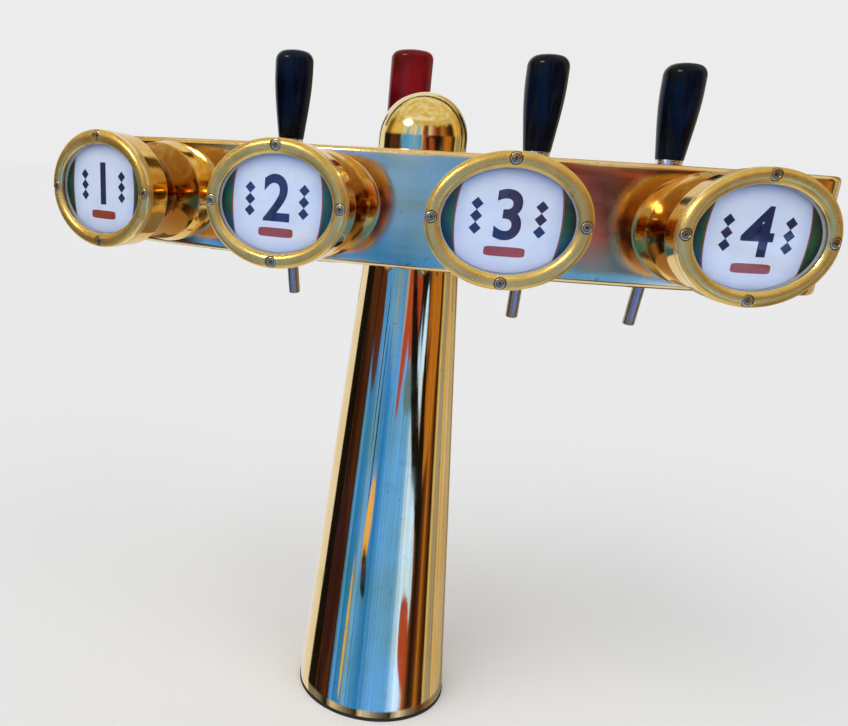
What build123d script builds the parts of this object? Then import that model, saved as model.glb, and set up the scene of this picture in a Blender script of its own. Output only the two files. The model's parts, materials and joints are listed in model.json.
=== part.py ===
from build123d import *
from math import cos, degrees, radians, sin, sqrt, tan
import os

# Beer tower with four taps: a conical column carries a curved box beam.
# Millimetres, +Z up, origin at the centre of the foot on the counter.
# -Y is the customer's side with the medallions, +Y the side of the taps.

overrun = 1.0                # cutting tools start and end this far outside the metal

# --- column and foot
column_height = 453.0        # counter to the underside of the beam
foot_radius = 78.5           # outer radius at the bottom edge of the column
neck_radius = 44.5           # outer radius at the underside of the beam
column_wall = 2.0
column_end_rise = 8.0        # how far the column's end stands above the beam
gasket_height = 3.0
gasket_edge = 0.4            # how far the foot gasket shows past the column
base_ring_height = 8.0
base_bore_radius = 40.0      # opening in the counter ring for the lines
base_bolt_circle = 114.0
base_bolt_hole_radius = 3.4  # tapped M8
gasket_bolt_hole_radius = 5.0
base_bolt_count = 4
window_side_start = 18.0     # the column's windows inside the beam begin here
window_half_width = 30.0
window_margin = 14.0         # metal left above and below a window

# --- dome on top of the beam
dome_wall = 2.3
dome_fit = 0.3
dome_skirt = 10.0            # straight part under the hemisphere

# --- beam
beam_height = 100.0
beam_depth = 96.0
beam_wall = 2.0
beam_front_radius = 760.0    # plan radius of the customer's face
beam_half_arc = 380.0        # half the length along that face
beam_corner_radius = 27.0    # upright corners, in plan
beam_edge_radius = 4.5       # long edges

# --- service covers under the beam
cover_thickness = 1.5
cover_start_arc = 62.0       # nearest to the column, along the front face
cover_end_arc = 345.0
cover_front_margin = 14.0
cover_lap = 7.0              # overlap of the cover round its opening
cover_corner = 8.0           # corners of the opening
cover_screw_inset = 14.0     # end screws from the end of the opening
cover_screw_radius = 2.0
cover_screw_head_radius = 3.8
cover_screw_head_height = 1.8
cover_screw_length = 7.0
screw_clearance = 0.15

# --- medallion pods, along their own axis from the beam's face outwards
pod_pitch = 166.4            # along the front face
pod_half_width = 62.5        # outline of the bezel ring
pod_half_height = 50.5
pod_count = 4
pod_flange_inset = 3.8       # flange is this much inside the bezel outline
pod_flange_edge = 4.0        # straight edge of the flange
pod_flange_length = 16.0     # edge and cone together
pod_flange_taper = 2.4
pod_waist_inset = 20.0
pod_waist_share = 0.45       # the waist lies this far between flange and band
pod_waist_slant = 0.15       # rise of the curve where it leaves the flange and meets the band
pod_band_inset = 1.0
pod_band_length = 18.5       # band behind the bezel
pod_band_bead = 1.5
pod_length = 81.0            # face of the beam to the bezel's seat
pod_wall = 2.2
pod_floor = 4.0
pod_sink = 3.0               # stock for cutting the back to the beam's curve
pod_lip_inset = 10.0         # lip that carries the gasket
pod_lip_thickness = 3.0
boss_radius = 3.6
boss_length = 10.0

# --- bezel, lens and badge
bezel_depth = 10.5
bezel_side_drop = 3.2        # outer edge lies this much below the crown
bezel_width = 11.5
bezel_step = 0.8             # shadow gap against the band
bezel_inner_drop = 2.6       # inner edge lies this much below the crown
lens_recess = 3.4            # how far the lens flange reaches under the bezel
lens_flange = 3.0
lens_shoulder = 1.2
lens_rise = 4.0
lens_gap = 0.5
badge_thickness = 1.5
lens_gasket = 1.0
seat_radius = 5.2
seat_depth = 1.3
bezel_screw_inset = 4.6
bezel_screw_radius = 1.9
bezel_screw_head_radius = 4.2
bezel_screw_head_height = 2.4
bezel_screw_reach = 9.0      # below the bezel, into the boss
recess_radius = 1.6
recess_depth = 1.3

# --- lamp inside each pod
stud_radius = 8.0
stud_bore = 5.0
stud_flange_radius = 12.0
stud_flange = 3.0
post_radius = 7.0
board_gap = 11.0             # between the board's seat and the lip
board_inset = 16.5
board_thickness = 1.6
chip_radius = 2.2
chip_height = 1.2
chip_circle_width = 24.0
chip_circle_height = 15.0
chip_count = 6

# --- wall nuts, shared by pods and taps
nut_radius = 13.0            # over the corners
nut_height = 6.0
nut_fit = 0.05
stud_tail = 12.0             # stud or shank beyond the wall, inside the beam

# --- taps, along their own axis from the beam's back face outwards
tap_shift = 37.5             # taps sit this far to the right of the pods
shank_bore = 3.5
shank_tail = 18.0
shank_reach = 13.0
rose_radius = 20.0
rose_face_radius = 16.0
rose_height = 4.0
rose_edge = 1.2
rose_sink = 1.0              # stock for cutting its back to the beam's curve
union_start = 5.0
union_length = 14.0
union_radius = 15.6          # over the corners
union_bevel = 1.8
collar_radius = 11.5
collar_length = 3.0
throat_radius = 9.5
barrel_start = 21.0
barrel_end = 79.0
barrel_radius = 13.0
barrel_bevel = 1.0
lever_at = 59.0              # lever and spout axis
pivot_height = 15.0
ball_radius = 6.5
ball_fit = 0.1
throat_half_width = 2.6      # slot under the ball for the finger
throat_half_length = 7.0
turret_radius = 12.5
turret_top = 3.0             # above the pivot
bonnet_radius = 14.8
bonnet_corner = 16.2         # hexagon over its corners, before turning
bonnet_bevel = 1.5
swing_clearance = 0.4        # between the swung lever and the bonnet's mouth
bonnet_skirt = 1.6           # bonnet reaches this far below the pivot
bonnet_top = 10.0            # above the pivot
bonnet_lip_radius = 5.8
bonnet_lip = 1.5
chamber_radius = 7.0
piston_fit = 0.05
seat_at = 42.0
seat_length = 2.0
seat_bore = 4.6
inlet_chamber_start = 26.0
cap_radius = 10.5
cap_length = 6.0
cap_plug = 1.5
cap_bevel = 2.5

# --- spout
spout_radius = 6.4
spout_wall = 1.2
spout_lean = 12.0            # degrees, away from the beam
spout_drop = 108.0           # tip below the middle of the beam
spout_boss_radius = 10.0
spout_boss_drop = 26.0
spout_socket = 8.0
spout_fit = 0.05
outlet_bore = 4.4            # passage in the tap body above the spout

# --- lever, ferrule, handle
lever_travel = 25.0          # degrees
lever_neck_radius = 3.0
lever_neck_top = 14.0        # above the pivot
lever_stem_radius = 5.0
lever_flare = 3.0            # length of the cone between neck and stem
ferrule_bottom = 49.0        # above the middle of the beam
ferrule_radius = 13.2
ferrule_foot_radius = 9.0
ferrule_height = 10.0
ferrule_flare = 4.0
handle_stud_radius = 4.0
handle_stud_depth = 18.0
handle_fit = 0.05
handle_end_gap = 0.5         # left above the stud
handle_length = 88.0
handle_swell = 0.12          # slope of the side at the foot
handle_crown = 2.5
club_foot_radius = 13.6
club_top_radius = 20.2
club_widest = 66.0           # above the foot
club_shoulder = 10.5
drum_foot_radius = 16.5
drum_top_radius = 20.8
drum_widest = 34.0
drum_shoulder = 7.5
drum_tap = 1                 # counted from 0: the one tap with the fuller grip
finger_radius = 2.2
finger_ball_radius = 3.0

# --- valve stem
head_radius = 6.0
head_length = 5.0
head_clearance = 0.1
rod_radius = 2.8
eye_radius = 5.6
eye_half_length = 6.0
eye_slot = 3.35              # half the slot that takes the lever's finger
eye_slot_floor = 4.0
eye_flat = 2.5               # flat on top of the eye, above the axis
piston_start = 70.0
piston_length = 7.0

# --- beer tubes and lamp leads
tube_radius = 4.0
tube_bore = 3.0
tube_bend = 16.0
tube_fit = 0.05
tail_height = 25.0           # lower ends above the counter
tail_length = 30.0           # smooth end for a hose, below the bead
tail_bead_radius = 4.8
tail_bead_length = 2.0
tube_socket = 8.0
tube_side = 8.0              # tubes in the column, left and right of its axis
tube_back = 3.3
tube_front = -13.0
tube_drop = 16.0             # the far tubes run this much lower
lead_radius = 1.5
lead_bend = 7.0
lead_front = -24.0
lead_side = 4.0
lead_rise = 21.0             # first pair of leads above the middle of the beam
lead_step = 7.0              # second pair above the first
lead_pitch = 6.0             # between leads in the column
lead_run = 21.0              # first stretch along the beam
lead_drop_side = 30.0        # where the leads come in from the beam

# --- worked out from the sizes above
beam_middle = column_height + beam_height / 2
beam_top = column_height + beam_height
arc_centre = beam_front_radius - beam_depth / 2
beam_back_radius = beam_front_radius - beam_depth
column_slope = (foot_radius - neck_radius) / (column_height - gasket_height)
column_end = beam_top + column_end_rise


def column_radius(z):
    return foot_radius - column_slope * (z - gasket_height)


def arc_angle(arc):
    """Angle in degrees of a length along the front face."""
    return degrees(arc / beam_front_radius)


def on_beam(arc, depth, z=beam_middle):
    """Place at an arc length and a depth behind the front face, X along the beam, Y to the back."""
    return Pos(0, arc_centre, 0) * Rot(Z=arc_angle(arc)) * Pos(0, depth - beam_front_radius, z)


def beam_point(arc, depth, z=beam_middle):
    return on_beam(arc, depth, z).position


def tap_place(index):
    """Place of a tap: origin on the beam's back face, Y outwards, Z up."""
    return on_beam(pod_arcs[index] + tap_shift, beam_depth)


pod_arcs = [pod_pitch * (i - (pod_count - 1) / 2) for i in range(pod_count)]
pod_places = [on_beam(arc, 0) for arc in pod_arcs]
tap_places = [tap_place(i) for i in range(pod_count)]


on_base = (Align.CENTER, Align.CENTER, Align.MIN)


def cone_frustum(z0, z1, inset=0.0):
    """Solid of the column's own cone between two heights."""
    r0, r1 = column_radius(z0) - inset, column_radius(z1) - inset
    return Pos(0, 0, z0) * Cone(r0, r1, z1 - z0, align=on_base)


def rod_z(radius, z0, z1):
    return Pos(0, 0, z0) * Cylinder(radius, z1 - z0, align=on_base)


def rod_y(radius, y0, y1):
    """Round bar along Y."""
    return Pos(0, y0, 0) * Rot(X=-90) * Cylinder(radius, y1 - y0, align=on_base)


def hex_y(radius, y0, y1):
    """Hexagonal bar along Y."""
    return Pos(0, y0, 0) * Rot(X=-90) * extrude(RegularPolygon(radius, 6), y1 - y0)


def turned_y(points):
    """Solid turned about Y from (radius, y) points."""
    return revolve(make_face(Polyline(*[(r, y) for r, y in points], close=True)), Axis.Y)


def turned_z(points):
    """Solid turned about Z from (radius, z) points."""
    return revolve(Plane.XZ * make_face(Polyline(*[(r, z) for r, z in points], close=True)), Axis.Z)


def save(shape, node):
    export_step(shape, f"parts/{node}.step")


def save_group(shapes, node):
    """Separate solids that share one node."""
    solids = [solid for shape in shapes for solid in shape.solids()]
    export_step(Compound(children=solids), f"parts/{node}.step")


# ---------------------------------------------------------------- beam

def beam_plan(inset, corner):
    """Plan outline of the beam, moved inwards by inset."""
    front, back = beam_front_radius - inset, beam_back_radius + inset
    half = arc_angle(beam_half_arc - inset)
    outline = [
        CenterArc((0, arc_centre), front, 270 - half, 2 * half),
        CenterArc((0, arc_centre), back, 270 - half, 2 * half),
    ]
    outline += [
        Line(outline[0] @ 0, outline[1] @ 0),
        Line(outline[0] @ 1, outline[1] @ 1),
    ]
    face = make_face(outline)
    return fillet(face.vertices(), corner)


def beam_block(inset, edge):
    block = Pos(0, 0, column_height + inset) * extrude(
        beam_plan(inset, beam_corner_radius - inset), beam_height - 2 * inset
    )
    rims = block.edges().filter_by(lambda e: abs(e.center().Z - block.center().Z) > beam_height / 4)
    return fillet(rims, edge)


def cover_plan(side, margin):
    """Sector under the beam: the opening at margin 0, the cover at a positive margin."""
    front = beam_front_radius - cover_front_margin - cover_lap + margin
    back = beam_back_radius + cover_front_margin + cover_lap - margin
    start = arc_angle(cover_start_arc + cover_lap - margin)
    span = arc_angle(cover_end_arc - cover_lap + margin) - start
    first = 270 + start if side > 0 else 270 - start - span
    arcs = [CenterArc((0, arc_centre), r, first, span) for r in (front, back)]
    ends = [Line(arcs[0] @ t, arcs[1] @ t) for t in (0, 1)]
    face = make_face(arcs + ends)
    return fillet(face.vertices(), cover_corner + margin / 2)


def cover_screw_spots(side):
    """Screws in the lap, at both ends and between."""
    middle = cover_lap / 2
    depths = (cover_front_margin + middle, beam_depth - cover_front_margin - middle)
    first = cover_start_arc + cover_lap + cover_screw_inset
    last = cover_end_arc - cover_lap - cover_screw_inset
    arcs = (first, (first + last) / 2, last)
    return [on_beam(side * arc, depth, column_height) for arc in arcs for depth in depths]


beam_outer = beam_block(0, beam_edge_radius)
column_solid = cone_frustum(gasket_height, column_end)
bar_shell = beam_outer - beam_block(beam_wall, beam_edge_radius - beam_wall) - column_solid
for side in (-1, 1):
    bar_shell -= Pos(0, 0, column_height - overrun) * extrude(cover_plan(side, 0), beam_wall + 2 * overrun)
    for spot in cover_screw_spots(side):
        bar_shell -= spot * rod_z(cover_screw_radius + screw_clearance, -overrun, beam_wall + overrun)
for place in pod_places:
    bar_shell -= place * rod_y(stud_radius + nut_fit, -overrun, beam_wall + overrun)
for place in tap_places:
    bar_shell -= place * rod_y(stud_radius + nut_fit, -beam_wall - overrun, overrun)

covers = {}
cover_screws = []
for side, name in ((-1, "left"), (1, "right")):
    plate = Pos(0, 0, column_height - cover_thickness) * extrude(cover_plan(side, cover_lap), cover_thickness)
    for spot in cover_screw_spots(side):
        plate -= spot * rod_z(cover_screw_radius + screw_clearance, -cover_thickness - overrun, overrun)
        head_top = -cover_thickness
        cover_screws.append(
            spot * (
                rod_z(cover_screw_radius, head_top, head_top + cover_screw_length)
                + rod_z(cover_screw_head_radius, head_top - cover_screw_head_height, head_top)
            )
        )
    covers[name] = plate

# ---------------------------------------------------------------- column, foot and dome

column_shell = column_solid - cone_frustum(gasket_height - overrun, column_end + overrun, column_wall)
window_height = beam_height - 2 * window_margin
for side in (-1, 1):
    column_shell -= Pos(side * (window_side_start + neck_radius), 0, beam_middle) * Box(
        2 * neck_radius, 2 * window_half_width, window_height
    )

base_ring = cone_frustum(gasket_height, gasket_height + base_ring_height, column_wall)
base_ring -= rod_z(base_bore_radius, 0, gasket_height + base_ring_height + overrun)
base_gasket = rod_z(foot_radius + gasket_edge, 0, gasket_height)
base_gasket -= rod_z(base_bore_radius, -overrun, gasket_height + overrun)
for spot in PolarLocations(base_bolt_circle / 2, base_bolt_count, start_angle=45):
    base_ring -= spot * rod_z(base_bolt_hole_radius, 0, gasket_height + base_ring_height + overrun)
    base_gasket -= spot * rod_z(gasket_bolt_hole_radius, -overrun, gasket_height + overrun)

dome_inner = column_radius(beam_top) + dome_fit
dome_outer = dome_inner + dome_wall


def dome_form(radius, skirt):
    half_ball = Sphere(radius) & rod_z(radius + overrun, 0, radius + overrun)
    return rod_z(radius, 0, skirt) + Pos(0, 0, skirt) * half_ball


dome_cap = Pos(0, 0, beam_top) * (dome_form(dome_outer, dome_skirt) - dome_form(dome_inner, dome_skirt))

# ---------------------------------------------------------------- medallion pods
# A pod is drawn about its own axis: X across, Z up, and -Y outwards from the beam's face.

pod_outline = Edge.make_ellipse(pod_half_width, pod_half_height, Plane.XZ)
ring_plane = Plane(origin=(pod_half_width, 0, 0), x_dir=(1, 0, 0), z_dir=(0, 0, -1))


def oval(inset):
    return Plane.XZ * Ellipse(pod_half_width - inset, pod_half_height - inset)


def oval_plate(inset, start, thickness):
    """Plate on the pod's axis from start outwards."""
    return Pos(0, -start, 0) * extrude(oval(inset), thickness)


def oval_ring(outline):
    """Ring of a closed profile carried round the pod's outline; x is outwards, y along the axis."""
    return sweep(ring_plane * make_face(outline), path=pod_outline)


def outward_rod(radius, start, end):
    """Round bar along the pod's axis."""
    return rod_y(radius, -end, -start)


pod_band_at = pod_length - pod_band_length
pod_waist_at = pod_flange_length + pod_waist_share * (pod_band_at - pod_flange_length)


def housing_profile():
    flange, tip = -pod_flange_inset, -pod_flange_inset - pod_flange_taper
    waist, band = -pod_waist_inset, -pod_band_inset
    outside = [
        Polyline((flange, -pod_sink), (flange, pod_flange_edge), (tip, pod_flange_length)),
        Spline(
            (tip, pod_flange_length),
            (waist, pod_waist_at),
            (band - pod_band_bead, pod_band_at),
            tangents=((-1, pod_waist_slant), (1, pod_waist_slant)),
        ),
        Polyline(
            (band - pod_band_bead, pod_band_at),
            (band, pod_band_at + pod_band_bead),
            (band, pod_length),
        ),
    ]
    inside = [
        Polyline(
            (flange, -pod_sink),
            (flange - pod_flange_length, -pod_sink),
            (flange - pod_flange_length, pod_floor),
            (flange - pod_wall, pod_floor),
            (tip - pod_wall, pod_flange_length - pod_wall),
        ),
        Spline(
            (tip - pod_wall, pod_flange_length - pod_wall),
            (waist - pod_wall, pod_waist_at),
            (band - pod_band_bead - pod_wall, pod_band_at + pod_wall),
            tangents=((-1, pod_waist_slant), (1, pod_waist_slant)),
        ),
        Polyline(
            (band - pod_band_bead - pod_wall, pod_band_at + pod_wall),
            (band - pod_wall, pod_band_at + 2 * pod_wall),
            (band - pod_wall, pod_length - pod_lip_thickness),
            (-pod_lip_inset, pod_length - pod_lip_thickness),
            (-pod_lip_inset, pod_length),
            (band, pod_length),
        ),
    ]
    return outside + inside


screw_angles = [0, 90, 180, 270]


def bezel_screw_spots():
    """The four screw axes, at the sides, the top and the bottom of the ring."""
    across, up = pod_half_width - bezel_screw_inset, pod_half_height - bezel_screw_inset
    return [Pos(across * cos(radians(a)), 0, up * sin(radians(a))) for a in screw_angles]


def make_housing():
    body = oval_ring(housing_profile())
    body += oval_plate(pod_flange_inset + pod_wall, -pod_sink, pod_sink + pod_floor)
    for spot in bezel_screw_spots():
        body += spot * outward_rod(boss_radius, pod_length - boss_length, pod_length) & oval_plate(
            pod_band_inset, 0, pod_length
        )
    for spot in bezel_screw_spots():
        body -= spot * outward_rod(
            bezel_screw_radius + screw_clearance, pod_length - boss_length, pod_length + overrun
        )
    body -= outward_rod(stud_radius + nut_fit, -pod_sink - overrun, pod_floor + overrun)
    return body


crown_at = pod_length + bezel_depth
bezel_side_top = crown_at - bezel_side_drop
lens_seat = pod_length + lens_gasket + badge_thickness + lens_flange


def make_bezel():
    inside = -bezel_width
    profile = [
        Polyline(
            (-bezel_step, pod_length),
            (-bezel_step, pod_length + bezel_step),
            (0, pod_length + bezel_step),
            (0, bezel_side_top),
        ),
        ThreePointArc(
            (0, bezel_side_top),
            (inside / 2, crown_at),
            (inside, crown_at - bezel_inner_drop),
        ),
        Polyline(
            (inside, crown_at - bezel_inner_drop),
            (inside, lens_seat),
            (inside + lens_recess, lens_seat),
            (inside + lens_recess, pod_length),
            (-bezel_step, pod_length),
        ),
    ]
    ring = oval_ring(profile)
    for spot in bezel_screw_spots():
        ring -= spot * outward_rod(seat_radius, crown_at - seat_depth, crown_at + overrun)
        ring -= spot * outward_rod(bezel_screw_radius + screw_clearance, pod_length - overrun, crown_at)
        head = crown_at - seat_depth - bezel_screw_head_height
        ring -= spot * outward_rod(bezel_screw_head_radius + screw_clearance, head, crown_at)
    return ring


def make_lens():
    """Flange under the bezel and a shallow dome that rises through it."""
    across, up = pod_half_width - bezel_width - lens_gap, pod_half_height - bezel_width - lens_gap
    flange = oval_plate(bezel_width - lens_recess + lens_gap, lens_seat - lens_flange, lens_flange)
    shoulder = lens_seat + lens_shoulder
    section = make_face([
        Polyline((0, -shoulder), (0, -lens_seat), (across, -lens_seat), (across, -shoulder)),
        ThreePointArc(
            (across, -shoulder), (across / 2, -shoulder - lens_rise * 3 / 4), (0, -shoulder - lens_rise)
        ),
        Line((0, -shoulder - lens_rise), (0, -shoulder)),
    ])
    return flange + scale(revolve(section, Axis.Y), by=(1, 1, up / across))


def make_badge():
    start = pod_length + lens_gasket
    return oval_plate(bezel_width - lens_recess + lens_gap, start, badge_thickness)


def make_lens_gasket():
    outer = oval_plate(bezel_width - lens_recess + lens_gap, pod_length, lens_gasket)
    return outer - oval_plate(bezel_width - lens_gap, pod_length - overrun, lens_gasket + 2 * overrun)


def make_bezel_screw():
    top = crown_at - seat_depth
    head = top - bezel_screw_head_height
    screw = outward_rod(bezel_screw_head_radius, head, top)
    screw += outward_rod(bezel_screw_radius, pod_length - bezel_screw_reach, head)
    return screw - outward_rod(recess_radius, top - recess_depth, top + overrun)


board_start = pod_length - pod_lip_thickness - board_gap


def make_stud():
    """Hollow stud: thread through the beam, flange on the pod's floor, post for the lamp."""
    tail = -beam_wall - stud_tail
    stud = outward_rod(stud_radius, tail, pod_floor)
    stud += outward_rod(stud_flange_radius, pod_floor, pod_floor + stud_flange)
    stud += outward_rod(post_radius, pod_floor, board_start)
    return stud - outward_rod(stud_bore, tail - overrun, board_start + overrun)


def make_lamp_board():
    """Circuit board with a ring of light chips."""
    board = oval_plate(board_inset, board_start, board_thickness)
    chip_base = board_start + board_thickness
    for i in range(chip_count):
        turn = radians(360 * i / chip_count)
        spot = Pos(chip_circle_width * cos(turn), 0, chip_circle_height * sin(turn))
        board += spot * outward_rod(chip_radius, chip_base, chip_base + chip_height)
    return board


# the front wall is hollow seen from inside, so a flat nut stands off its middle
hollow = beam_front_radius - beam_wall
pod_nut_start = beam_wall + hollow - sqrt(hollow ** 2 - nut_radius ** 2)


def make_wall_nut(start):
    """Hexagonal nut along Y from start."""
    hole = rod_y(stud_radius + nut_fit, start - overrun, start + nut_height + overrun)
    return hex_y(nut_radius, start, start + nut_height) - hole


# ---------------------------------------------------------------- taps
# A tap is drawn on its own place: Y outwards from the beam's back face, Z up.

at_lever = Pos(0, lever_at, 0)
at_pivot = Pos(0, lever_at, pivot_height)
spout_place = at_lever * Rot(X=spout_lean)
spout_end = spout_drop / cos(radians(spout_lean))


def make_shank():
    shank = rod_y(stud_radius, -shank_tail, shank_reach)
    shank -= rod_y(shank_bore, -shank_tail - overrun, shank_reach + overrun)
    return shank - rod_y(tube_radius + tube_fit, -shank_tail - overrun, -shank_tail + tube_socket)


def make_rose():
    """Turned rosette that covers the hole in the beam."""
    form = turned_y([
        (0, -rose_sink), (rose_radius, -rose_sink), (rose_radius, rose_edge),
        (rose_face_radius, rose_height), (0, rose_height),
    ])
    return form - rod_y(stud_radius + nut_fit, -rose_sink - overrun, rose_height + overrun)


def make_union():
    """Union nut: screwed on the shank, its lip pulls the tap's collar."""
    end = union_start + union_length
    body = hex_y(union_radius, union_start, end)
    body &= turned_y([
        (0, union_start), (union_radius - union_bevel, union_start),
        (union_radius, union_start + union_bevel),
        (union_radius, end - union_bevel), (union_radius - union_bevel, end), (0, end),
    ])
    body -= rod_y(stud_radius + nut_fit, union_start - overrun, shank_reach)
    body -= rod_y(collar_radius + nut_fit, shank_reach, shank_reach + collar_length)
    return body - rod_y(throat_radius + nut_fit, shank_reach, end + overrun)


def make_tap_body():
    body = turned_y([
        (0, shank_reach), (collar_radius, shank_reach), (collar_radius, shank_reach + collar_length),
        (throat_radius, shank_reach + collar_length), (throat_radius, barrel_start),
        (barrel_radius, barrel_start + barrel_radius - throat_radius),
        (barrel_radius, barrel_end - barrel_bevel), (barrel_radius - barrel_bevel, barrel_end),
        (0, barrel_end),
    ])
    body += at_lever * rod_z(turret_radius, 0, pivot_height + turret_top)
    body += spout_place * rod_z(spout_boss_radius, -spout_boss_drop, 0)
    body -= rod_y(shank_bore, shank_reach - overrun, inlet_chamber_start)
    body -= rod_y(chamber_radius + piston_fit, inlet_chamber_start, seat_at)
    body -= rod_y(seat_bore, seat_at, seat_at + seat_length)
    body -= rod_y(chamber_radius + piston_fit, seat_at + seat_length, barrel_end + overrun)
    body -= at_pivot * Sphere(ball_radius + ball_fit)
    body -= at_pivot * rod_z(ball_radius + ball_fit, 0, turret_top + overrun)
    throat = SlotOverall(2 * throat_half_length, 2 * throat_half_width, rotation=90)
    body -= at_lever * extrude(throat, pivot_height)
    body -= spout_place * rod_z(
        spout_radius + spout_fit, -spout_boss_drop - overrun, -spout_boss_drop + spout_socket
    )
    return body - spout_place * rod_z(outlet_bore, -spout_boss_drop, 0)


def make_spout():
    top = -spout_boss_drop + spout_socket
    tube = rod_z(spout_radius, -spout_end, top)
    return spout_place * (tube - rod_z(spout_radius - spout_wall, -spout_end - overrun, top + overrun))


def make_bonnet():
    """Cap over the lever's ball, open to the lever's swing."""
    low, top, mouth = -bonnet_skirt, bonnet_top, bonnet_lip_radius
    swing = radians(lever_travel)
    reach = lever_neck_radius / cos(swing) + top * tan(swing) + swing_clearance
    cap = chamfer(rod_z(bonnet_radius, low, top).edges().group_by(Axis.Z)[-1], bonnet_bevel)
    cap &= Pos(0, 0, low) * extrude(RegularPolygon(bonnet_corner, 6), top - low)
    cap -= rod_z(turret_radius + nut_fit, low - overrun, turret_top)
    cap -= turned_z([
        (0, turret_top - overrun), (mouth, turret_top - overrun), (mouth, turret_top + bonnet_lip),
        (reach, top), (reach, top + overrun), (0, top + overrun),
    ])
    return at_pivot * cap


def make_front_cap():
    """Screwed cap that closes the barrel."""
    end = barrel_end + cap_length
    return turned_y([
        (0, barrel_end - cap_plug), (chamber_radius, barrel_end - cap_plug), (chamber_radius, barrel_end),
        (cap_radius, barrel_end), (cap_radius, end - cap_bevel), (cap_radius - cap_bevel, end), (0, end),
    ])


def make_lever():
    """Lever with its pivot ball and the finger that moves the valve stem, about the pivot."""
    shoulder = ferrule_bottom - pivot_height
    stud_top = shoulder + ferrule_height + handle_stud_depth
    lever = Sphere(ball_radius)
    lever += rod_z(finger_radius, -pivot_height, 0) + Pos(0, 0, -pivot_height) * Sphere(finger_ball_radius)
    lever += turned_z([
        (0, 0), (lever_neck_radius, 0), (lever_neck_radius, lever_neck_top),
        (lever_stem_radius, lever_neck_top + lever_flare), (lever_stem_radius, shoulder),
        (handle_stud_radius, shoulder), (handle_stud_radius, stud_top), (0, stud_top),
    ])
    return at_pivot * lever


def make_ferrule():
    top = ferrule_bottom + ferrule_height
    form = turned_z([
        (0, ferrule_bottom), (ferrule_foot_radius, ferrule_bottom), 
        (ferrule_radius, ferrule_bottom + ferrule_flare), (ferrule_radius, top), (0, top),
    ])
    return at_lever * (form - rod_z(handle_stud_radius + handle_fit, ferrule_bottom - overrun, top + overrun))


def make_handle(bottom_radius, top_radius, widest, shoulder_radius):
    """Turned grip that swells from its foot to its widest height and ends in a rounded shoulder."""
    foot = ferrule_bottom + ferrule_height
    top = foot + handle_length
    shoulder = top - handle_crown
    crown_radius = (top_radius ** 2 + handle_crown ** 2) / (2 * handle_crown)
    outline = make_face([
        Line((0, foot), (bottom_radius, foot)),
        Spline((bottom_radius, foot), (top_radius, foot + widest), tangents=((handle_swell, 1), (0, 1))),
        Line((top_radius, foot + widest), (top_radius, shoulder)),
        RadiusArc((top_radius, shoulder), (0, top), -crown_radius),
        Line((0, top), (0, foot)),
    ])
    corner = outline.vertices().sort_by_distance((top_radius, shoulder))[0]
    grip = revolve(Plane.XZ * fillet(corner, shoulder_radius), Axis.Z)
    hole = rod_z(handle_stud_radius + handle_fit, foot - overrun, foot + handle_stud_depth + handle_end_gap)
    return at_lever * (grip - hole)


def make_valve_stem():
    """Seal head upstream of the seat, eye for the lever's finger, guide piston."""
    seal = seat_at - head_clearance
    stem = rod_y(head_radius, seal - head_length, seal)
    stem += rod_y(rod_radius, seal, piston_start)
    stem += rod_y(eye_radius, lever_at - eye_half_length, lever_at + eye_half_length)
    stem += rod_y(chamber_radius, piston_start, piston_start + piston_length)
    slot = Pos(0, 0, -eye_slot_floor) * Box(2 * eye_slot, 2 * eye_slot, 2 * eye_radius, align=on_base)
    flat = Pos(0, 0, eye_flat) * Box(2 * eye_radius, 2 * eye_half_length, eye_radius, align=on_base)
    return stem - at_lever * slot - at_lever * flat


# ---------------------------------------------------------------- tubes and leads

def pipe(points, bend, radius, bore=0.0):
    """Round tube along straight runs joined by tangent arcs."""
    path = FilletPolyline(*points, radius=bend)
    start = Plane(origin=points[0], z_dir=path % 0)
    section = start * Circle(radius)
    if bore:
        section -= start * Circle(bore)
    return sweep(section, path=path)


def make_beer_tube(index):
    """Tube with a bead above its lower end that stops the hose."""
    route = beer_tube_route(index)
    bead_start = tail_height + tail_length
    bead = rod_z(tail_bead_radius, bead_start, bead_start + tail_bead_length)
    bead -= rod_z(tube_bore, bead_start - overrun, bead_start + tail_bead_length + overrun)
    return pipe(route, tube_bend, tube_radius, tube_bore) + Pos(route[0].X, route[0].Y, 0) * bead


def beer_tube_route(index):
    """From the tail in the foot, up the column, along the beam, into the shank."""
    arc = pod_arcs[index] + tap_shift
    side = -1 if index < pod_count / 2 else 1
    near = index in (pod_count / 2 - 1, pod_count / 2)
    x = side * tube_side
    y = tube_back if near else tube_front
    height = beam_middle if near else beam_middle - tube_drop
    end = beam_point(arc, beam_depth - shank_tail + tube_socket)
    turn = beam_point(arc, beam_depth / 2)
    points = [Vector(x, y, tail_height), Vector(x, y, height)]
    if not near:
        middle = beam_point(arc / 2, beam_depth / 2, height)
        points.append(middle)
    return points + [turn, end]


def lamp_lead_route(index):
    """From the lamp through the stud, along the beam's front wall, down the column."""
    arc = pod_arcs[index]
    side = -1 if index < pod_count / 2 else 1
    far = index in (0, pod_count - 1)
    height = beam_middle + lead_rise + (lead_step if far else 0)
    x = side * (lead_side if far else lead_side + lead_pitch)
    depth = beam_wall + stud_tail + lead_bend
    return [
        beam_point(arc, -board_start),
        beam_point(arc, depth),
        beam_point(arc - side * lead_run, depth, height),
        Vector(side * lead_drop_side, lead_front, height),
        Vector(x, lead_front, height),
        Vector(x, lead_front, tail_height),
    ]


os.makedirs("parts", exist_ok=True)

save(column_shell, "column_shell")
save(base_ring, "base_ring")
save(base_gasket, "base_gasket")
save(dome_cap, "dome_cap")
save(bar_shell, "bar_shell")
for name, plate in covers.items():
    save(plate, f"bottom_cover_{name}")
save_group(cover_screws, "cover_screws")

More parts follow.
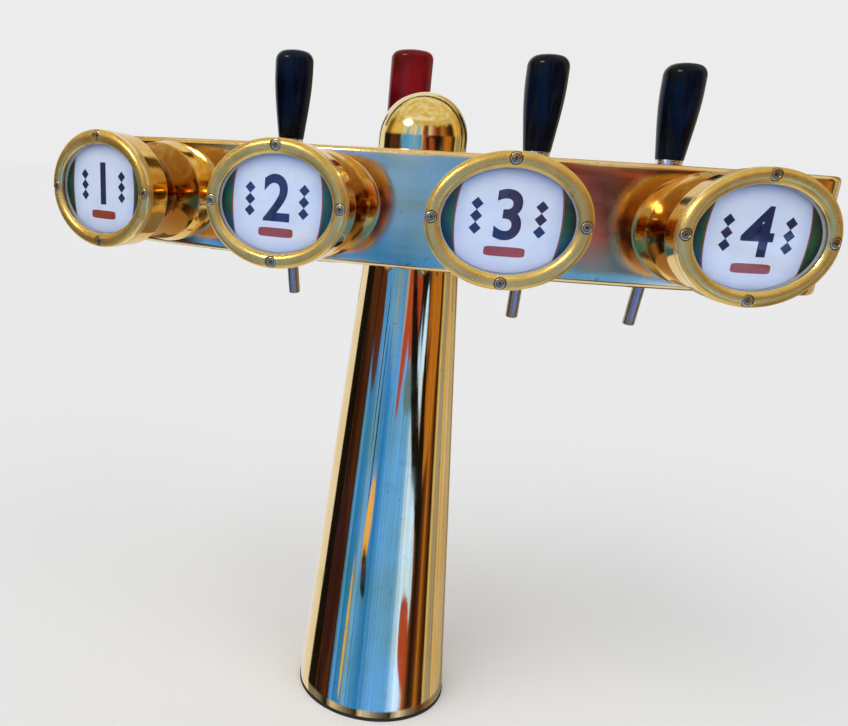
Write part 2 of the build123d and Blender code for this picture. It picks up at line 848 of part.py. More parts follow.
housing, bezel, lens, badge = make_housing(), make_bezel(), make_lens(), make_badge()
for i, place in enumerate(pod_places, start=1):
    save(place * housing - beam_outer, f"pod_housing_{i}")
    save(place * bezel, f"bezel_ring_{i}")
    save(place * lens, f"lens_{i}")
    save(place * badge, f"badge_plate_{i}")
save_group([place * make_lens_gasket() for place in pod_places], "lens_gaskets")
bezel_screw = make_bezel_screw()
save_group(
    [place * spot * bezel_screw for place in pod_places for spot in bezel_screw_spots()], "bezel_screws"
)
save_group([place * make_stud() for place in pod_places], "pod_studs")
save_group([place * make_lamp_board() for place in pod_places], "lamp_boards")
save_group(
    [place * make_wall_nut(pod_nut_start) for place in pod_places]
    + [place * make_wall_nut(-beam_wall - nut_height) for place in tap_places],
    "wall_nuts",
)

save_group([place * make_shank() for place in tap_places], "tap_shanks")
save_group([place * make_rose() - beam_outer for place in tap_places], "tap_roses")
save_group([place * make_union() for place in tap_places], "union_nuts")
save_group([place * make_bonnet() for place in tap_places], "bonnet_nuts")
save_group([place * make_front_cap() for place in tap_places], "tap_front_caps")
tap_pieces = {
    "tap_body": make_tap_body(), "spout": make_spout(), "lever": make_lever(), "ferrule": make_ferrule(),
    "valve_stem": make_valve_stem(),
}
for name, shape in tap_pieces.items():
    for i, place in enumerate(tap_places, start=1):
        save(place * shape, f"{name}_{i}")
club = make_handle(club_foot_radius, club_top_radius, club_widest, club_shoulder)
drum = make_handle(drum_foot_radius, drum_top_radius, drum_widest, drum_shoulder)
for i, place in enumerate(tap_places):
    save(place * (drum if i == drum_tap else club), f"handle_{i + 1}")

save_group([make_beer_tube(i) for i in range(pod_count)], "beer_tubes")
leads = [pipe(lamp_lead_route(i), lead_bend, lead_radius) for i in range(pod_count)]
save_group(leads, "lamp_leads")
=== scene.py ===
import json
import math

import bmesh
import bpy
import numpy as np
from mathutils import Matrix, Vector


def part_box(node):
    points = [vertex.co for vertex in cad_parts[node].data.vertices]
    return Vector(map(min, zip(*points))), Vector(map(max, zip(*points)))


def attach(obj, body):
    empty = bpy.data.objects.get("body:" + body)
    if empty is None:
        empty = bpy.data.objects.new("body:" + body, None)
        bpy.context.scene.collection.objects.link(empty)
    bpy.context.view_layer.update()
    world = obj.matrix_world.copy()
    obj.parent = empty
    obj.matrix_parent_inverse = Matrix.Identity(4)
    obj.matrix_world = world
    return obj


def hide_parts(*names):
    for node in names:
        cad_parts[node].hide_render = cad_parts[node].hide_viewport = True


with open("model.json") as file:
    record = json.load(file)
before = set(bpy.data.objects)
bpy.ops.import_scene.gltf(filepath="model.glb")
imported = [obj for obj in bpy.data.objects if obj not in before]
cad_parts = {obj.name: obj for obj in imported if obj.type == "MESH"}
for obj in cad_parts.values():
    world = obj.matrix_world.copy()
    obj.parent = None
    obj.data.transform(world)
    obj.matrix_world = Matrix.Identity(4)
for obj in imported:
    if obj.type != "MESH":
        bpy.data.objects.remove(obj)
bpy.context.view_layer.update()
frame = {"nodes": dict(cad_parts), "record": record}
mm = 0.001

# the beam's measures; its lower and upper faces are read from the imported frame
beam = {
    "frontRadius": 760 * mm,   # plan radius of the customer's face
    "halfArc": 380 * mm,       # along that face, from the middle to one end
    "cornerRadius": 27 * mm,
    "edgeRadius": 4.5 * mm,
    "bottom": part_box("bar_shell")[0].z,
    "top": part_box("bar_shell")[1].z,
    "depth": 96 * mm,
}
beam["middle"] = (beam["bottom"] + beam["top"]) / 2
beam["centreY"] = beam["frontRadius"] - beam["depth"] / 2
beam["backRadius"] = beam["frontRadius"] - beam["depth"]

podPitch = 166.4 * mm
podArcs = podPitch * (np.arange(4) - 1.5)
tapShift = 37.5 * mm


def frontPlace(arc):
    # origin on the beam's face, then unit vectors across, outwards to the customer, up
    angle = arc / beam["frontRadius"]
    across = np.array([math.cos(angle), math.sin(angle), 0.0])
    outward = np.array([math.sin(angle), -math.cos(angle), 0.0])
    origin = np.array([0.0, beam["centreY"], beam["middle"]]) + beam["frontRadius"] * outward
    return origin, across, outward, np.array([0.0, 0.0, 1.0])


def backPlace(arc):
    # origin on the beam's back, then across, outwards to the taps' side, up
    origin, across, outward, up = frontPlace(arc)
    return origin - beam["depth"] * outward, across, -outward, up


worldPlace = (np.zeros(3), np.array([1.0, 0, 0]), np.array([0, 1.0, 0]), np.array([0, 0, 1.0]))


def placed(place, x, y, z):
    # point = origin + x across + y outward + z up, for whole arrays
    origin, across, outward, up = place
    x, y, z = np.broadcast_arrays(x, y, z)
    return origin + x[..., None] * across + y[..., None] * outward + z[..., None] * up


podPlaces = [frontPlace(arc) for arc in podArcs]
tapPlaces = [backPlace(arc + tapShift) for arc in podArcs]


def gridSurface(name, points, loopU=False, loopV=False, sharp=38, marks=None):
    # quads between neighbouring rows and columns of points; a loop joins the last to the first;
    # marks are named values from 0 to 1 at the points, which the materials read
    nu, nv = points.shape[:2]
    u = np.arange(nu if loopU else nu - 1)[:, None]
    v = np.arange(nv if loopV else nv - 1)[None, :]
    u1, v1 = (u + 1) % nu, (v + 1) % nv
    quads = np.stack([u * nv + v, u1 * nv + v, u1 * nv + v1, u * nv + v1], -1).reshape(-1, 4)
    mesh = bpy.data.meshes.new(name)
    mesh.vertices.add(nu * nv)
    mesh.vertices.foreach_set("co", points.astype(np.float32).ravel())
    mesh.loops.add(quads.size)
    mesh.loops.foreach_set("vertex_index", quads.astype(np.int32).ravel())
    mesh.polygons.add(len(quads))
    mesh.polygons.foreach_set("loop_start", np.arange(0, quads.size, 4, dtype=np.int32))
    mesh.polygons.foreach_set("loop_total", np.full(len(quads), 4, np.int32))
    mesh.update(calc_edges=True)
    for mark, values in (marks or {}).items():
        layer = mesh.attributes.new(mark, "FLOAT", "POINT")
        layer.data.foreach_set("value", np.broadcast_to(values, (nu, nv)).astype(np.float32).ravel())
    return closedUp(name, mesh, sharp)


def closedUp(name, mesh, sharp=38):
    # merges poles and seams, turns faces outwards, smooths all but sharp corners
    work = bmesh.new()
    work.from_mesh(mesh)
    bmesh.ops.remove_doubles(work, verts=work.verts, dist=1e-7)
    bmesh.ops.dissolve_degenerate(work, edges=work.edges, dist=1e-8)
    bmesh.ops.recalc_face_normals(work, faces=work.faces)
    work.to_mesh(mesh)
    work.free()
    mesh.shade_smooth()
    mesh.set_sharp_from_angle(angle=math.radians(sharp))
    piece = bpy.data.objects.new(name, mesh)
    bpy.context.scene.collection.objects.link(piece)
    return piece


def rounded(corners, steps=6):
    # a polyline whose corners (x, y, radius) become arcs; a corner without a radius stays sharp
    corners = [tuple(c) + (0,) * (3 - len(c)) for c in corners]
    line = [np.array(corners[0][:2])[None]]
    for before, corner, after in zip(corners, corners[1:], corners[2:]):
        point, radius = np.array(corner[:2]), corner[2]
        if radius == 0:
            line.append(point[None])
            continue
        a, b = np.array(before[:2]) - point, np.array(after[:2]) - point
        a, b = a / np.linalg.norm(a), b / np.linalg.norm(b)
        half = math.acos(np.clip(a @ b, -1, 1)) / 2
        centre = point + (a + b) / np.linalg.norm(a + b) * radius / math.sin(half)
        start = point + a * radius / math.tan(half) - centre
        end = point + b * radius / math.tan(half) - centre
        sweep = math.pi - 2 * half
        t = np.linspace(0, 1, steps)[:, None]
        line.append(centre + (np.sin((1 - t) * sweep) * start + np.sin(t * sweep) * end) / math.sin(sweep))
    line.append(np.array(corners[-1][:2])[None])
    return np.concatenate(line)


def hermite(start, end, slopeStart, slopeEnd, steps):
    # cubic between two points (x, y) that leaves and arrives along the given vectors
    t = np.linspace(0, 1, steps)[:, None]
    start, end, slopeStart, slopeEnd = map(np.array, (start, end, slopeStart, slopeEnd))
    return ((2 * t**3 - 3 * t**2 + 1) * start + (t**3 - 2 * t**2 + t) * slopeStart
            + (3 * t**2 - 2 * t**3) * end + (t**3 - t**2) * slopeEnd)


def dense(line, spacing):
    # more points along the straight stretches of a polyline, none further apart than spacing
    parts = []
    for a, b in zip(line, line[1:]):
        count = max(1, int(np.ceil(np.linalg.norm(b - a) / spacing)))
        parts.append(a + (b - a) * (np.arange(count) / count)[:, None])
    parts.append(line[-1:])
    return np.concatenate(parts)


def fullTurn(steps):
    return np.linspace(0, 2 * math.pi, steps, endpoint=False)[:, None]


def turned(name, place, profile, steps, loop=False, foot=(0.0, 0.0), marks=None):
    # profile (radius, height) turned in steps about an axis that stands at foot (outward, up) in the place
    angle = fullTurn(steps)
    radius, height = profile[:, 0][None], profile[:, 1][None]
    points = placed(place, radius * np.cos(angle), foot[0] + radius * np.sin(angle), foot[1] + height)
    return gridSurface(name, points, loopU=True, loopV=loop, marks=marks)


class Wire:
    # a node's output socket; + - * / ** on it add Math nodes, and node() adds a node of any kind

    def __init__(self, tree, socket=None):
        self.tree = tree
        self.socket = socket

    def node(self, kind, values=None, out=0, stops=None, **settings):
        made = self.tree.nodes.new("ShaderNode" + kind)
        for key, value in settings.items():
            setattr(made, key, value)
        if stops:
            ramp = made.color_ramp
            while len(ramp.elements) < len(stops):
                ramp.elements.new(1.0)
            for element, (position, colour) in zip(ramp.elements, stops):
                element.position = position
                element.color = (*colour, 1.0)
        for key, value in (values or {}).items():
            socket = made.inputs[key]
            if isinstance(value, Wire):
                self.tree.links.new(value.socket, socket)
            else:
                socket.default_value = (*value, 1.0) if socket.type == "RGBA" else value
        return Wire(self.tree, made.outputs[out])

    def math(self, operation, other=0.0, swap=False):
        first, second = (other, self) if swap else (self, other)
        return self.node("Math", {0: first, 1: second}, operation=operation)

    def __add__(self, other):
        return self.math("ADD", other)

    def __sub__(self, other):
        return self.math("SUBTRACT", other)

    def __rsub__(self, other):
        return self.math("SUBTRACT", other, True)

    def __mul__(self, other):
        return self.math("MULTIPLY", other)

    def __truediv__(self, other):
        return self.math("DIVIDE", other)

    def __pow__(self, other):
        return self.math("POWER", other)

    def band(self, low, high, toLow=0.0, toHigh=1.0):
        # value carried smoothly from low..high to toLow..toHigh
        values = {"Value": self, "From Min": low, "From Max": high, "To Min": toLow, "To Max": toHigh}
        return self.node("MapRange", values, interpolation_type="SMOOTHSTEP")

    def mixed(self, colourA, colourB):
        # this value mixes two colours
        return self.node("Mix", {0: self, 6: colourA, 7: colourB}, out=2, data_type="RGBA")


def newMaterial(name, **fixed):
    # a material with its Principled shader; fixed sets the sockets that are the same all over
    material = bpy.data.materials.new(name)
    material.use_nodes = True
    tree = material.node_tree
    shader = tree.nodes["Principled BSDF"]
    for key, value in fixed.items():
        shader.inputs[key.replace("_", " ")].default_value = value
    wire = Wire(tree)
    where = wire.node("TexCoord", out="Object")
    return material, wire, shader, where


def feed(wire, shader, **links):
    # links wires to the shader's sockets of those names
    for key, value in links.items():
        wire.tree.links.new(value.socket, shader.inputs[key.replace("_", " ")])


def noise(where, scale, detail=3.0, roughness=0.5, stretch=(1, 1, 1), turn=(0, 0, 0)):
    # Noise Texture on stretched and turned object coordinates
    mapped = where.node("Mapping", {"Vector": where, "Scale": stretch, "Rotation": turn})
    values = {"Vector": mapped, "Scale": scale, "Detail": detail, "Roughness": roughness}
    return where.node("TexNoise", values, out="Fac")


def bump(height, strength, distance):
    # a normal from a height
    return height.node("Bump", {"Height": height, "Strength": strength, "Distance": distance})


# tones and polish for the marks on meshes: painted shade in hollows and joints, painted highlight along edges
highlightPolish = 0.1
paintedShadeTone, paintedHighlightTone = (0.05, 0.03, 0.01), (0.95, 0.80, 0.50)


def aged(where, tint, polish, paintedShade, highlightTone):
    # the marks on a mesh paint shade into its hollows, and paint a highlight along its marked edges, where
    # the polish is smoother
    shadeMask = where.node("Attribute", attribute_name="paintedShade", out="Fac")
    edge = where.node("Attribute", attribute_name="edge", out="Fac")
    tint = edge.mixed(shadeMask.mixed(tint, paintedShade), highlightTone)
    return tint, polish * (1.0 - edge) + edge * highlightPolish


def polishedBrass(name, gold, pale, dull, streak, smooth=0.03, wear=0.09, paintedShade=paintedShadeTone, metal=1.0):
    # lacquered brass: tint drifts in patches and along streaks, cloudy polish, hairline scratches
    material, wire, shader, where = newMaterial(name, Metallic=metal)
    drift = noise(where, 9, 4, 0.55)
    lines = noise(where, 60, 3, 0.6, stretch=streak)
    clouds = noise(where, 28, 5, 0.62)
    tint = (drift * 0.6 + lines * 0.4).band(0.34, 0.66).mixed(gold, pale)
    spots = noise(where, 130, 2, 0.5).band(0.66, 0.78)
    tint = (spots * 0.5).mixed(tint, dull)
    tint = (clouds.band(0.58, 0.8) * 0.45).mixed(tint, dull)
    scratch = noise(where, 900, 2, 0.5, stretch=streak)
    wave = noise(where, 16, 2, 0.4)
    polish = clouds.band(0.3, 0.75, smooth, wear)
    # painted shade and painted highlight where the mesh is marked
    tint, polish = aged(where, tint, polish, paintedShade, paintedHighlightTone)
    relief = bump(scratch * 0.02 + wave * 0.55, 0.16, 0.0016)
    feed(wire, shader, Base_Color=tint, Roughness=polish, Normal=relief)
    return material


def platedMetal(name, tone, smooth, rough, streak=(1, 1, 1)):
    # stainless or plated metal with water marks and fine turning lines
    material, wire, shader, where = newMaterial(name, Metallic=1.0)
    marks = noise(where, 70, 4, 0.6)
    lines = noise(where, 700, 2, 0.5, stretch=streak)
    shade = [c * 0.78 for c in tone]
    tint = marks.band(0.5, 0.75).mixed(tone, shade)
    polish = marks.band(0.35, 0.7, smooth, rough)
    # painted shade in marked hollows, painted highlight on marked edges
    tint, polish = aged(where, tint, polish, (0.02, 0.016, 0.01), (1, 0.95, 0.8))
    feed(wire, shader, Base_Color=tint, Roughness=polish, Normal=bump(lines, 0.10, 0.0004))
    return material


def glossPaint(name, deep, light):
    # thick gloss paint, slightly uneven, with a few rubbed places
    material, wire, shader, where = newMaterial(name, IOR=1.25)
    drift = noise(where, 30, 3, 0.5)
    wearAndHighlight = noise(where, 240, 4, 0.7).band(0.68, 0.8)
    tint = drift.band(0.35, 0.7).mixed(deep, light)
    bare = [min(1, c * 3 + 0.02) for c in light]
    tint = (wearAndHighlight * 0.35).mixed(tint, bare)
    polish = drift.band(0.3, 0.7, 0.13, 0.22) + wearAndHighlight * 0.2
    feed(wire, shader, Base_Color=tint, Roughness=polish, Normal=bump(noise(where, 45, 2, 0.5), 0.10, 0.0006))
    return material


def printedColour(name, tone, shade, deep=(0, 0, 0)):
    # printing ink under the window, with a faint mottle; where the mesh is marked, a deeper tone paints shade
    material, wire, shader, where = newMaterial(name, IOR=1.45)
    mottle = noise(where, 55, 4, 0.6)
    marked = where.node("Attribute", attribute_name="paintedShade", out="Fac")
    tint = marked.mixed(mottle.band(0.3, 0.7).mixed(tone, shade), deep)
    polish = mottle.band(0.3, 0.7, 0.32, 0.5)
    feed(wire, shader, Base_Color=tint, Roughness=polish, Normal=bump(noise(where, 900, 2), 0.04, 0.0002))
    return material


def matteRubber(name, tone):
    # rubber, board or cable sheath: dull, finely grained
    material, wire, shader, where = newMaterial(name, IOR=1.5)
    grain = noise(where, 600, 3, 0.6)
    lighter = [c * 1.8 for c in tone]
    tint = grain.band(0.3, 0.7).mixed(tone, lighter)
    polish = grain.band(0.3, 0.7, 0.6, 0.85)
    feed(wire, shader, Base_Color=tint, Roughness=polish, Normal=bump(grain, 0.25, 0.0005))
    return material


def bareMaterial(name):
    # a material without its Principled shader
    material, wire, shader, where = newMaterial(name)
    material.node_tree.nodes.remove(shader)
    return material, wire, where


def surfaceMix(wire, amount, first, second):
    # the material shows a mix of two shaders
    both = wire.node("MixShader", {0: amount, 1: first, 2: second})
    wire.tree.links.new(both.socket, wire.tree.nodes["Material Output"].inputs["Surface"])


def clearWindow(name):
    # thin acrylic: see-through, with a gloss that grows towards glancing views
    material, wire, where = bareMaterial(name)
    wave = bump(noise(where, 18, 2, 0.4), 0.12, 0.001)
    facing = wire.node("LayerWeight", {"Blend": 0.5, "Normal": wave}, out="Facing")
    glance = facing ** 5.0 * 0.97 + 0.02
    clear = wire.node("BsdfTransparent", {"Color": (0.97, 0.98, 1.0)})
    gloss = wire.node("BsdfAnisotropic", {"Color": (1, 1, 1), "Roughness": 0.03, "Normal": wave})
    surfaceMix(wire, glance, clear, gloss)
    return material


# a brass has a gold, a pale and a dull tone, a direction of its streaks, and its least and most roughness
upright, alongBeam, allWays = (1, 1, 0.04), (0.12, 0.3, 1.0), (1, 1, 1)
shellBrass = polishedBrass(
    "brassColumn", (0.86, 0.60, 0.24), (0.93, 0.76, 0.45), (0.55, 0.36, 0.14), upright)
beamBrass = polishedBrass(
    "brassBeam", (0.84, 0.58, 0.25), (0.91, 0.74, 0.45), (0.5, 0.32, 0.14), alongBeam, 0.10, 0.17)
# the pods' shade tone paints dark reflection and shade into their waists
podBrass = polishedBrass(
    "brassPods", (0.76, 0.42, 0.08), (0.88, 0.58, 0.17), (0.40, 0.20, 0.04), allWays, 0.06, 0.16,
    paintedShade=(0.30, 0.10, 0.012))
ringBrass = polishedBrass(
    "brassRings", (0.62, 0.40, 0.09), (0.80, 0.57, 0.17), (0.26, 0.18, 0.06), allWays, 0.24, 0.38,
    metal=0.75)
nutBrass = polishedBrass(
    "brassNuts", (0.72, 0.55, 0.28), (0.80, 0.66, 0.40), (0.40, 0.30, 0.14), allWays, 0.2, 0.35)
domeBrass = polishedBrass(
    "brassDome", (0.84, 0.62, 0.21), (0.92, 0.78, 0.40), (0.48, 0.33, 0.10), allWays, 0.05, 0.14)
stainless = platedMetal("stainlessTube", (0.46, 0.41, 0.35), 0.30, 0.42, (1, 1, 0.05))
plated = platedMetal("platedTap", (0.80, 0.80, 0.79), 0.06, 0.16)
screwSteel = platedMetal("screwMetal", (0.66, 0.48, 0.18), 0.30, 0.42)
ringSteel = platedMetal("footSteel", (0.58, 0.57, 0.55), 0.28, 0.42)
navyPaint = glossPaint("navyGrip", (0.0006, 0.002, 0.007), (0.001, 0.007, 0.024))
redPaint = glossPaint("redGrip", (0.09, 0.002, 0.004), (0.22, 0.006, 0.010))
rubber = matteRubber("rubberSeal", (0.012, 0.011, 0.010))
boardGreen = matteRubber("lampBoard", (0.02, 0.10, 0.04))
leadBlack = matteRubber("lampLead", (0.02, 0.02, 0.02))
window = clearWindow("clearWindow")
# the deep tones of the pale and green fields are painted shade near the ring's inner edge
paleField = printedColour("paleField", (0.68, 0.76, 0.92), (0.74, 0.81, 0.94), (0.34, 0.45, 0.76))
whiteRim = printedColour("whiteRim", (0.85, 0.87, 0.93), (0.80, 0.83, 0.90))
greenField = printedColour(
    "greenField", (0.012, 0.17, 0.05), (0.006, 0.09, 0.03), (0.001, 0.014, 0.008))
navyInk = printedColour("navyInk", (0.012, 0.020, 0.060), (0.016, 0.028, 0.085))
rustInk = printedColour("rustInk", (0.30, 0.045, 0.020), (0.36, 0.06, 0.028))
print("materials:", len(bpy.data.materials))

slotFinish = {
    "brass_shell": shellBrass, "brass_bezel": ringBrass, "steel_ring": ringSteel, "rubber": rubber,
    "screw_steel": screwSteel, "lens": window, "badge": paleField, "nut_brass": nutBrass,
    "board": boardGreen, "lead": leadBlack, "stainless": stainless, "chrome": plated,
    "handle_navy": navyPaint, "handle_red": redPaint,
}
nodeSlot = {part["node"]: part["material_slot"] for part in frame["record"]["subparts"]}
for name, node in frame["nodes"].items():
    node.data.materials.clear()
    node.data.materials.append(slotFinish[nodeSlot[name]])
    node.data.shade_smooth()
    node.data.set_sharp_from_angle(angle=math.radians(30))


def pick(settings, names):
    # the settings of those names, in that order
    return [settings[name] for name in names.split()]


def settle(piece, material, replaced=(), body="tower"):
    # gives a piece its material and body, and hides the CAD nodes it stands for
    piece.data.materials.append(material)
    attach(piece, body)
    if replaced:
        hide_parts(*replaced)


column = {
    "radius": 78.5 * mm, "taper": 34 / 450, "foot": 3 * mm, "top": 561 * mm, "wall": 2 * mm, "edge": 1 * mm,
}


def makeColumn():
    # conical tube, its lower outer edge rounded
    low, high, wall, wide, edge = pick(column, "foot top wall radius edge")
    narrow = wide - column["taper"] * (high - low)
    start = (narrow - wall, high)
    corners = [start, (narrow, high), (wide, low, edge), (wide - wall, low), start]
    profile = dense(rounded(corners), spacing=12 * mm)[:-1]
    return turned("column", worldPlace, profile, steps=256, loop=True)


dome = {"radius": 39.5 * mm, "wall": 2.3 * mm, "skirt": 10 * mm}


def makeDome():
    # outer and inner hemisphere on a short straight skirt
    radius, wall, skirt = pick(dome, "radius wall skirt")
    inner = radius - wall
    t = np.linspace(0, math.pi / 2, num=40)
    outside = np.stack([radius * np.cos(t), skirt + radius * np.sin(t)], 1)
    inside = np.stack([inner * np.cos(t), skirt + inner * np.sin(t)], 1)[::-1]
    profile = np.concatenate([[[radius, 0]], outside, inside, [[inner, 0], [radius, 0]]])
    return turned("domeCap", worldPlace, profile, steps=192, foot=(0.0, beam["top"]))


settle(makeColumn(), shellBrass, ["column_shell"])
settle(makeDome(), domeBrass, ["dome_cap"])


def beamOutline(inset):
    # plan outline moved inwards by inset: the right half from front to back, then its mirror image
    front, back = beam["frontRadius"] - inset, beam["backRadius"] + inset
    corner = beam["cornerRadius"] - inset
    endAngle = (beam["halfArc"] - inset) / beam["frontRadius"]
    frontCorner, backCorner = front - corner, back + corner
    frontAngle = endAngle - math.asin(corner / frontCorner)
    backAngle = endAngle - math.asin(corner / backCorner)

    def polar(radius, angle):
        return np.stack([radius * np.sin(angle), -radius * np.cos(angle)], -1)

    def cornerArc(radius, angle, first, last):
        turn = np.linspace(first, last, num=14)
        return polar(radius, angle) + corner * np.stack([np.sin(turn), -np.cos(turn)], -1)

    rightSide = np.concatenate([
        polar(front, np.linspace(0, frontAngle, num=120)),
        cornerArc(frontCorner, frontAngle, frontAngle, endAngle + math.pi / 2),
        cornerArc(backCorner, backAngle, endAngle + math.pi / 2, backAngle + math.pi),
        polar(back, np.linspace(backAngle, 0, num=120)),
    ])
    return np.concatenate([rightSide, (rightSide * [-1, 1])[::-1][1:-1]])


def makeBeam():
    # level outlines from the lower face round the edges to the upper face, each face closed on a spine
    low, high, edge = pick(beam, "bottom top edgeRadius")
    flat = edge * 3
    side = rounded([(flat, low), (0, low, edge), (0, high, edge), (flat, high)], steps=9)
    side = dense(side, spacing=9 * mm)

    def level(outline, z):
        return np.column_stack([outline, np.full(len(outline), z)])

    rings = [level(beamOutline(inset), z) for inset, z in side]
    angle = np.arctan2(rings[0][:, 0], -rings[0][:, 1])
    limit = (beam["halfArc"] - beam["depth"] / 2) / beam["frontRadius"]
    spine = np.clip(angle, -limit, limit)
    spine = beam["centreY"] * np.stack([np.sin(spine), -np.cos(spine)], -1)
    points = np.stack([level(spine, low), *rings, level(spine, high)]) + [0, beam["centreY"], 0]
    return gridSurface("beamShell", points, loopV=True)


coverScrew = {
    "arcs": np.array([83, 203.5, 324]) * mm, "depths": np.array([17.5, 78.5]) * mm,
    "radius": 3.8 * mm, "height": 1.5 * mm, "proud": 0.35 * mm, "bevel": 0.3 * mm, "neck": 0.55,
    "recess": 1.5 * mm, "recessFloor": 0.2,
}


def makeCoverScrews():
    # low countersunk heads under the beam: a flat cone sunk in the cover, with a round recess
    radius, height, proud, bevel, neck, recess = pick(coverScrew, "radius height proud bevel neck recess")
    sink = height * coverScrew["recessFloor"]
    profile = np.array([(0, sink), (recess, sink), (recess, -proud), (radius - bevel, -proud), (radius, 0),
                        (radius * neck, height), (0, height)])
    # painted shade in the recess and where the head meets the cover
    marks = {"paintedShade": np.array([1, 1, 0, 0, 0.6, 0, 0])}
    arcs = [side * arc for side in (-1, 1) for arc in coverScrew["arcs"]]
    spots = [(arc, depth) for arc in arcs for depth in coverScrew["depths"]]
    for number, (arc, depth) in enumerate(spots):
        origin, across, outward, up = frontPlace(arc)
        foot = origin - depth * outward + (beam["bottom"] - beam["middle"] - height) * up
        screw = turned(f"coverScrew{number}", (foot, across, outward, up), profile, steps=40, marks=marks)
        settle(screw, nutBrass, [] if number else ["cover_screws"])


settle(makeBeam(), beamBrass, ["bar_shell"])
makeCoverScrews()
print("column, dome and beam")

# the medallions: an oval outline, distances along an axis that stands on the beam's front
pod = {
    "halfWidth": 62.5 * mm, "halfHeight": 50.5 * mm, "length": 81 * mm, "ringDepth": 10.5 * mm,
    "seatDepth": 1.4 * mm, "screwInset": 5.2 * mm, "sagEnd": 8 * mm,
}
pod["crown"] = pod["length"] + pod["ringDepth"]


def ovalPoints(profile, steps, backFollowsBeam=False):
    # profile (offset from the outline, distance along the axis) carried round the oval
    u = fullTurn(steps)
    a, b = pod["halfWidth"], pod["halfHeight"]
    normal = np.hypot(b * np.cos(u), a * np.sin(u))
    offset, along = profile[:, 0][None], profile[:, 1][None]
    x = a * np.cos(u) + offset * b * np.cos(u) / normal
    z = b * np.sin(u) + offset * a * np.sin(u) / normal
    along = np.broadcast_to(along, x.shape).copy()
    if backFollowsBeam:
        # the seat on the beam falls back with the beam's curve
        sag = beam["frontRadius"] - np.sqrt(beam["frontRadius"] ** 2 - x**2)
        along -= np.clip(1 - along / pod["sagEnd"], 0, 1) * sag
    return x, along, z


# offsets of the pod's parts from the oval, and where they stand along the axis; the last row sets the painted
# shade and dark reflection in its waist, which grows paler by that share towards the top and the underside
housing = {
    "flange": -3.8 * mm, "flangeAt": 4 * mm, "tip": -6.2 * mm, "tipAt": 16 * mm,
    "waist": -20 * mm, "waistAt": 37 * mm, "bead": 1.5 * mm, "beadAt": 62.5 * mm,
    "band": -1 * mm, "bandAt": 64 * mm, "lip": -10 * mm, "lipAt": 78 * mm,
    "wall": 2.2 * mm, "innerFrom": 15 * mm, "innerTo": 66 * mm, "chamberAt": 6 * mm, "boreInset": 16 * mm,
    "leavesTip": (-14 * mm, 9 * mm), "meetsWaist": (0, 22 * mm),
    "leavesWaist": (0, 26 * mm), "meetsBead": (19 * mm, 8 * mm),
    "shadeFrom": 15.4 * mm, "shadeTo": 63 * mm, "fadeIn": 1.6 * mm, "fadeOut": 3 * mm, "paler": 0.7,
}


def makePod(index, place):
    # flange, waist that sweeps in and out again, bead, band and lip; inside, a wall that follows them
    flange, flangeAt, tip, band, lip, lipAt, wall = pick(housing, "flange flangeAt tip band lip lipAt wall")
    front, bore = pod["length"], flange - housing["boreInset"]
    tipPoint, waistPoint = (tip, housing["tipAt"]), (housing["waist"], housing["waistAt"])
    beadPoint, bandPoint = (band - housing["bead"], housing["beadAt"]), (band, housing["bandAt"])
    sweep = hermite(tipPoint, waistPoint, housing["leavesTip"], housing["meetsWaist"], steps=18)
    rise = hermite(waistPoint, beadPoint, housing["leavesWaist"], housing["meetsBead"], steps=20)
    foot = [(flange, 0), (flange, flangeAt, 1.2 * mm), (*tipPoint, 0.7 * mm), tuple(sweep[1])]
    head = [tuple(rise[-2]), (*beadPoint, 0.5 * mm), (*bandPoint, 0.8 * mm), (band, front)]
    outside = np.concatenate([rounded(foot)[:-1], sweep[1:-1], rise[:-1], rounded(head)[1:]])
    outside = dense(outside, spacing=3 * mm)
    along = outside[:, 1]
    inside = outside[(along > housing["innerFrom"]) & (along < housing["innerTo"])][::-1] - [wall, 0]
    rim = [(lip, front), (lip, lipAt), (band - wall, lipAt)]
    back = [(tip - wall, housing["chamberAt"]), (bore, flangeAt), (bore, 0)]
    profile = np.concatenate([outside, rim, inside, back])
    x, along, z = ovalPoints(profile, steps=288, backFollowsBeam=True)
    # painted shade and dark reflection in the waist, paler towards the top and the underside
    start, end = profile[:, 1] - housing["shadeFrom"], housing["shadeTo"] - profile[:, 1]
    shadeMask = np.clip(start / housing["fadeIn"], 0, 1) * np.clip(end / housing["fadeOut"], 0, 1)
    marks = {"paintedShade": shadeMask * (1 - housing["paler"] * (np.abs(z) / pod["halfHeight"]) ** 3)}
    points = placed(place, x, along, z)
    piece = gridSurface(f"podHousing{index}", points, loopU=True, loopV=True, sharp=30, marks=marks)
    settle(piece, podBrass, [f"pod_housing_{index}"])


def screwCentres():
    # right, top, left and bottom of the ring
    a, b = pod["halfWidth"] - pod["screwInset"], pod["halfHeight"] - pod["screwInset"]
    return [(a, 0), (0, b), (-a, 0), (0, -b)]


ringShape = {
    "width": 11.5 * mm, "innerDrop": 2.6 * mm, "outerDrop": 3.2 * mm, "power": 2.6,
    # offset and distance from the pod's end: a joint darkened with painted shade, then the outer side
    "outerSide": np.array([(-0.8, 0), (-0.8, 0.7), (-0.15, 0.8), (0, 1.0), (0, 4)]) * mm,
    # joint: how high the painted shade along the joint with the pod reaches, and its strength
    "innerSide": 4 * mm, "rebate": (8.1 * mm, 5.5 * mm), "joint": (0.9 * mm, 0.9),
    # radius, outer limit and fade as shares of it, shade, height where seats start, depth below the screw
    "seat": (4.75 * mm, 1.03, 0.06, 0.85, 3 * mm, 0.5 * mm),
    # as shares of the width: the outer strip of painted highlight, where the inner one starts, its width; and
    # how far down
    "wearAndHighlight": (0.035, 0.955, 0.045, 3.9 * mm),
}


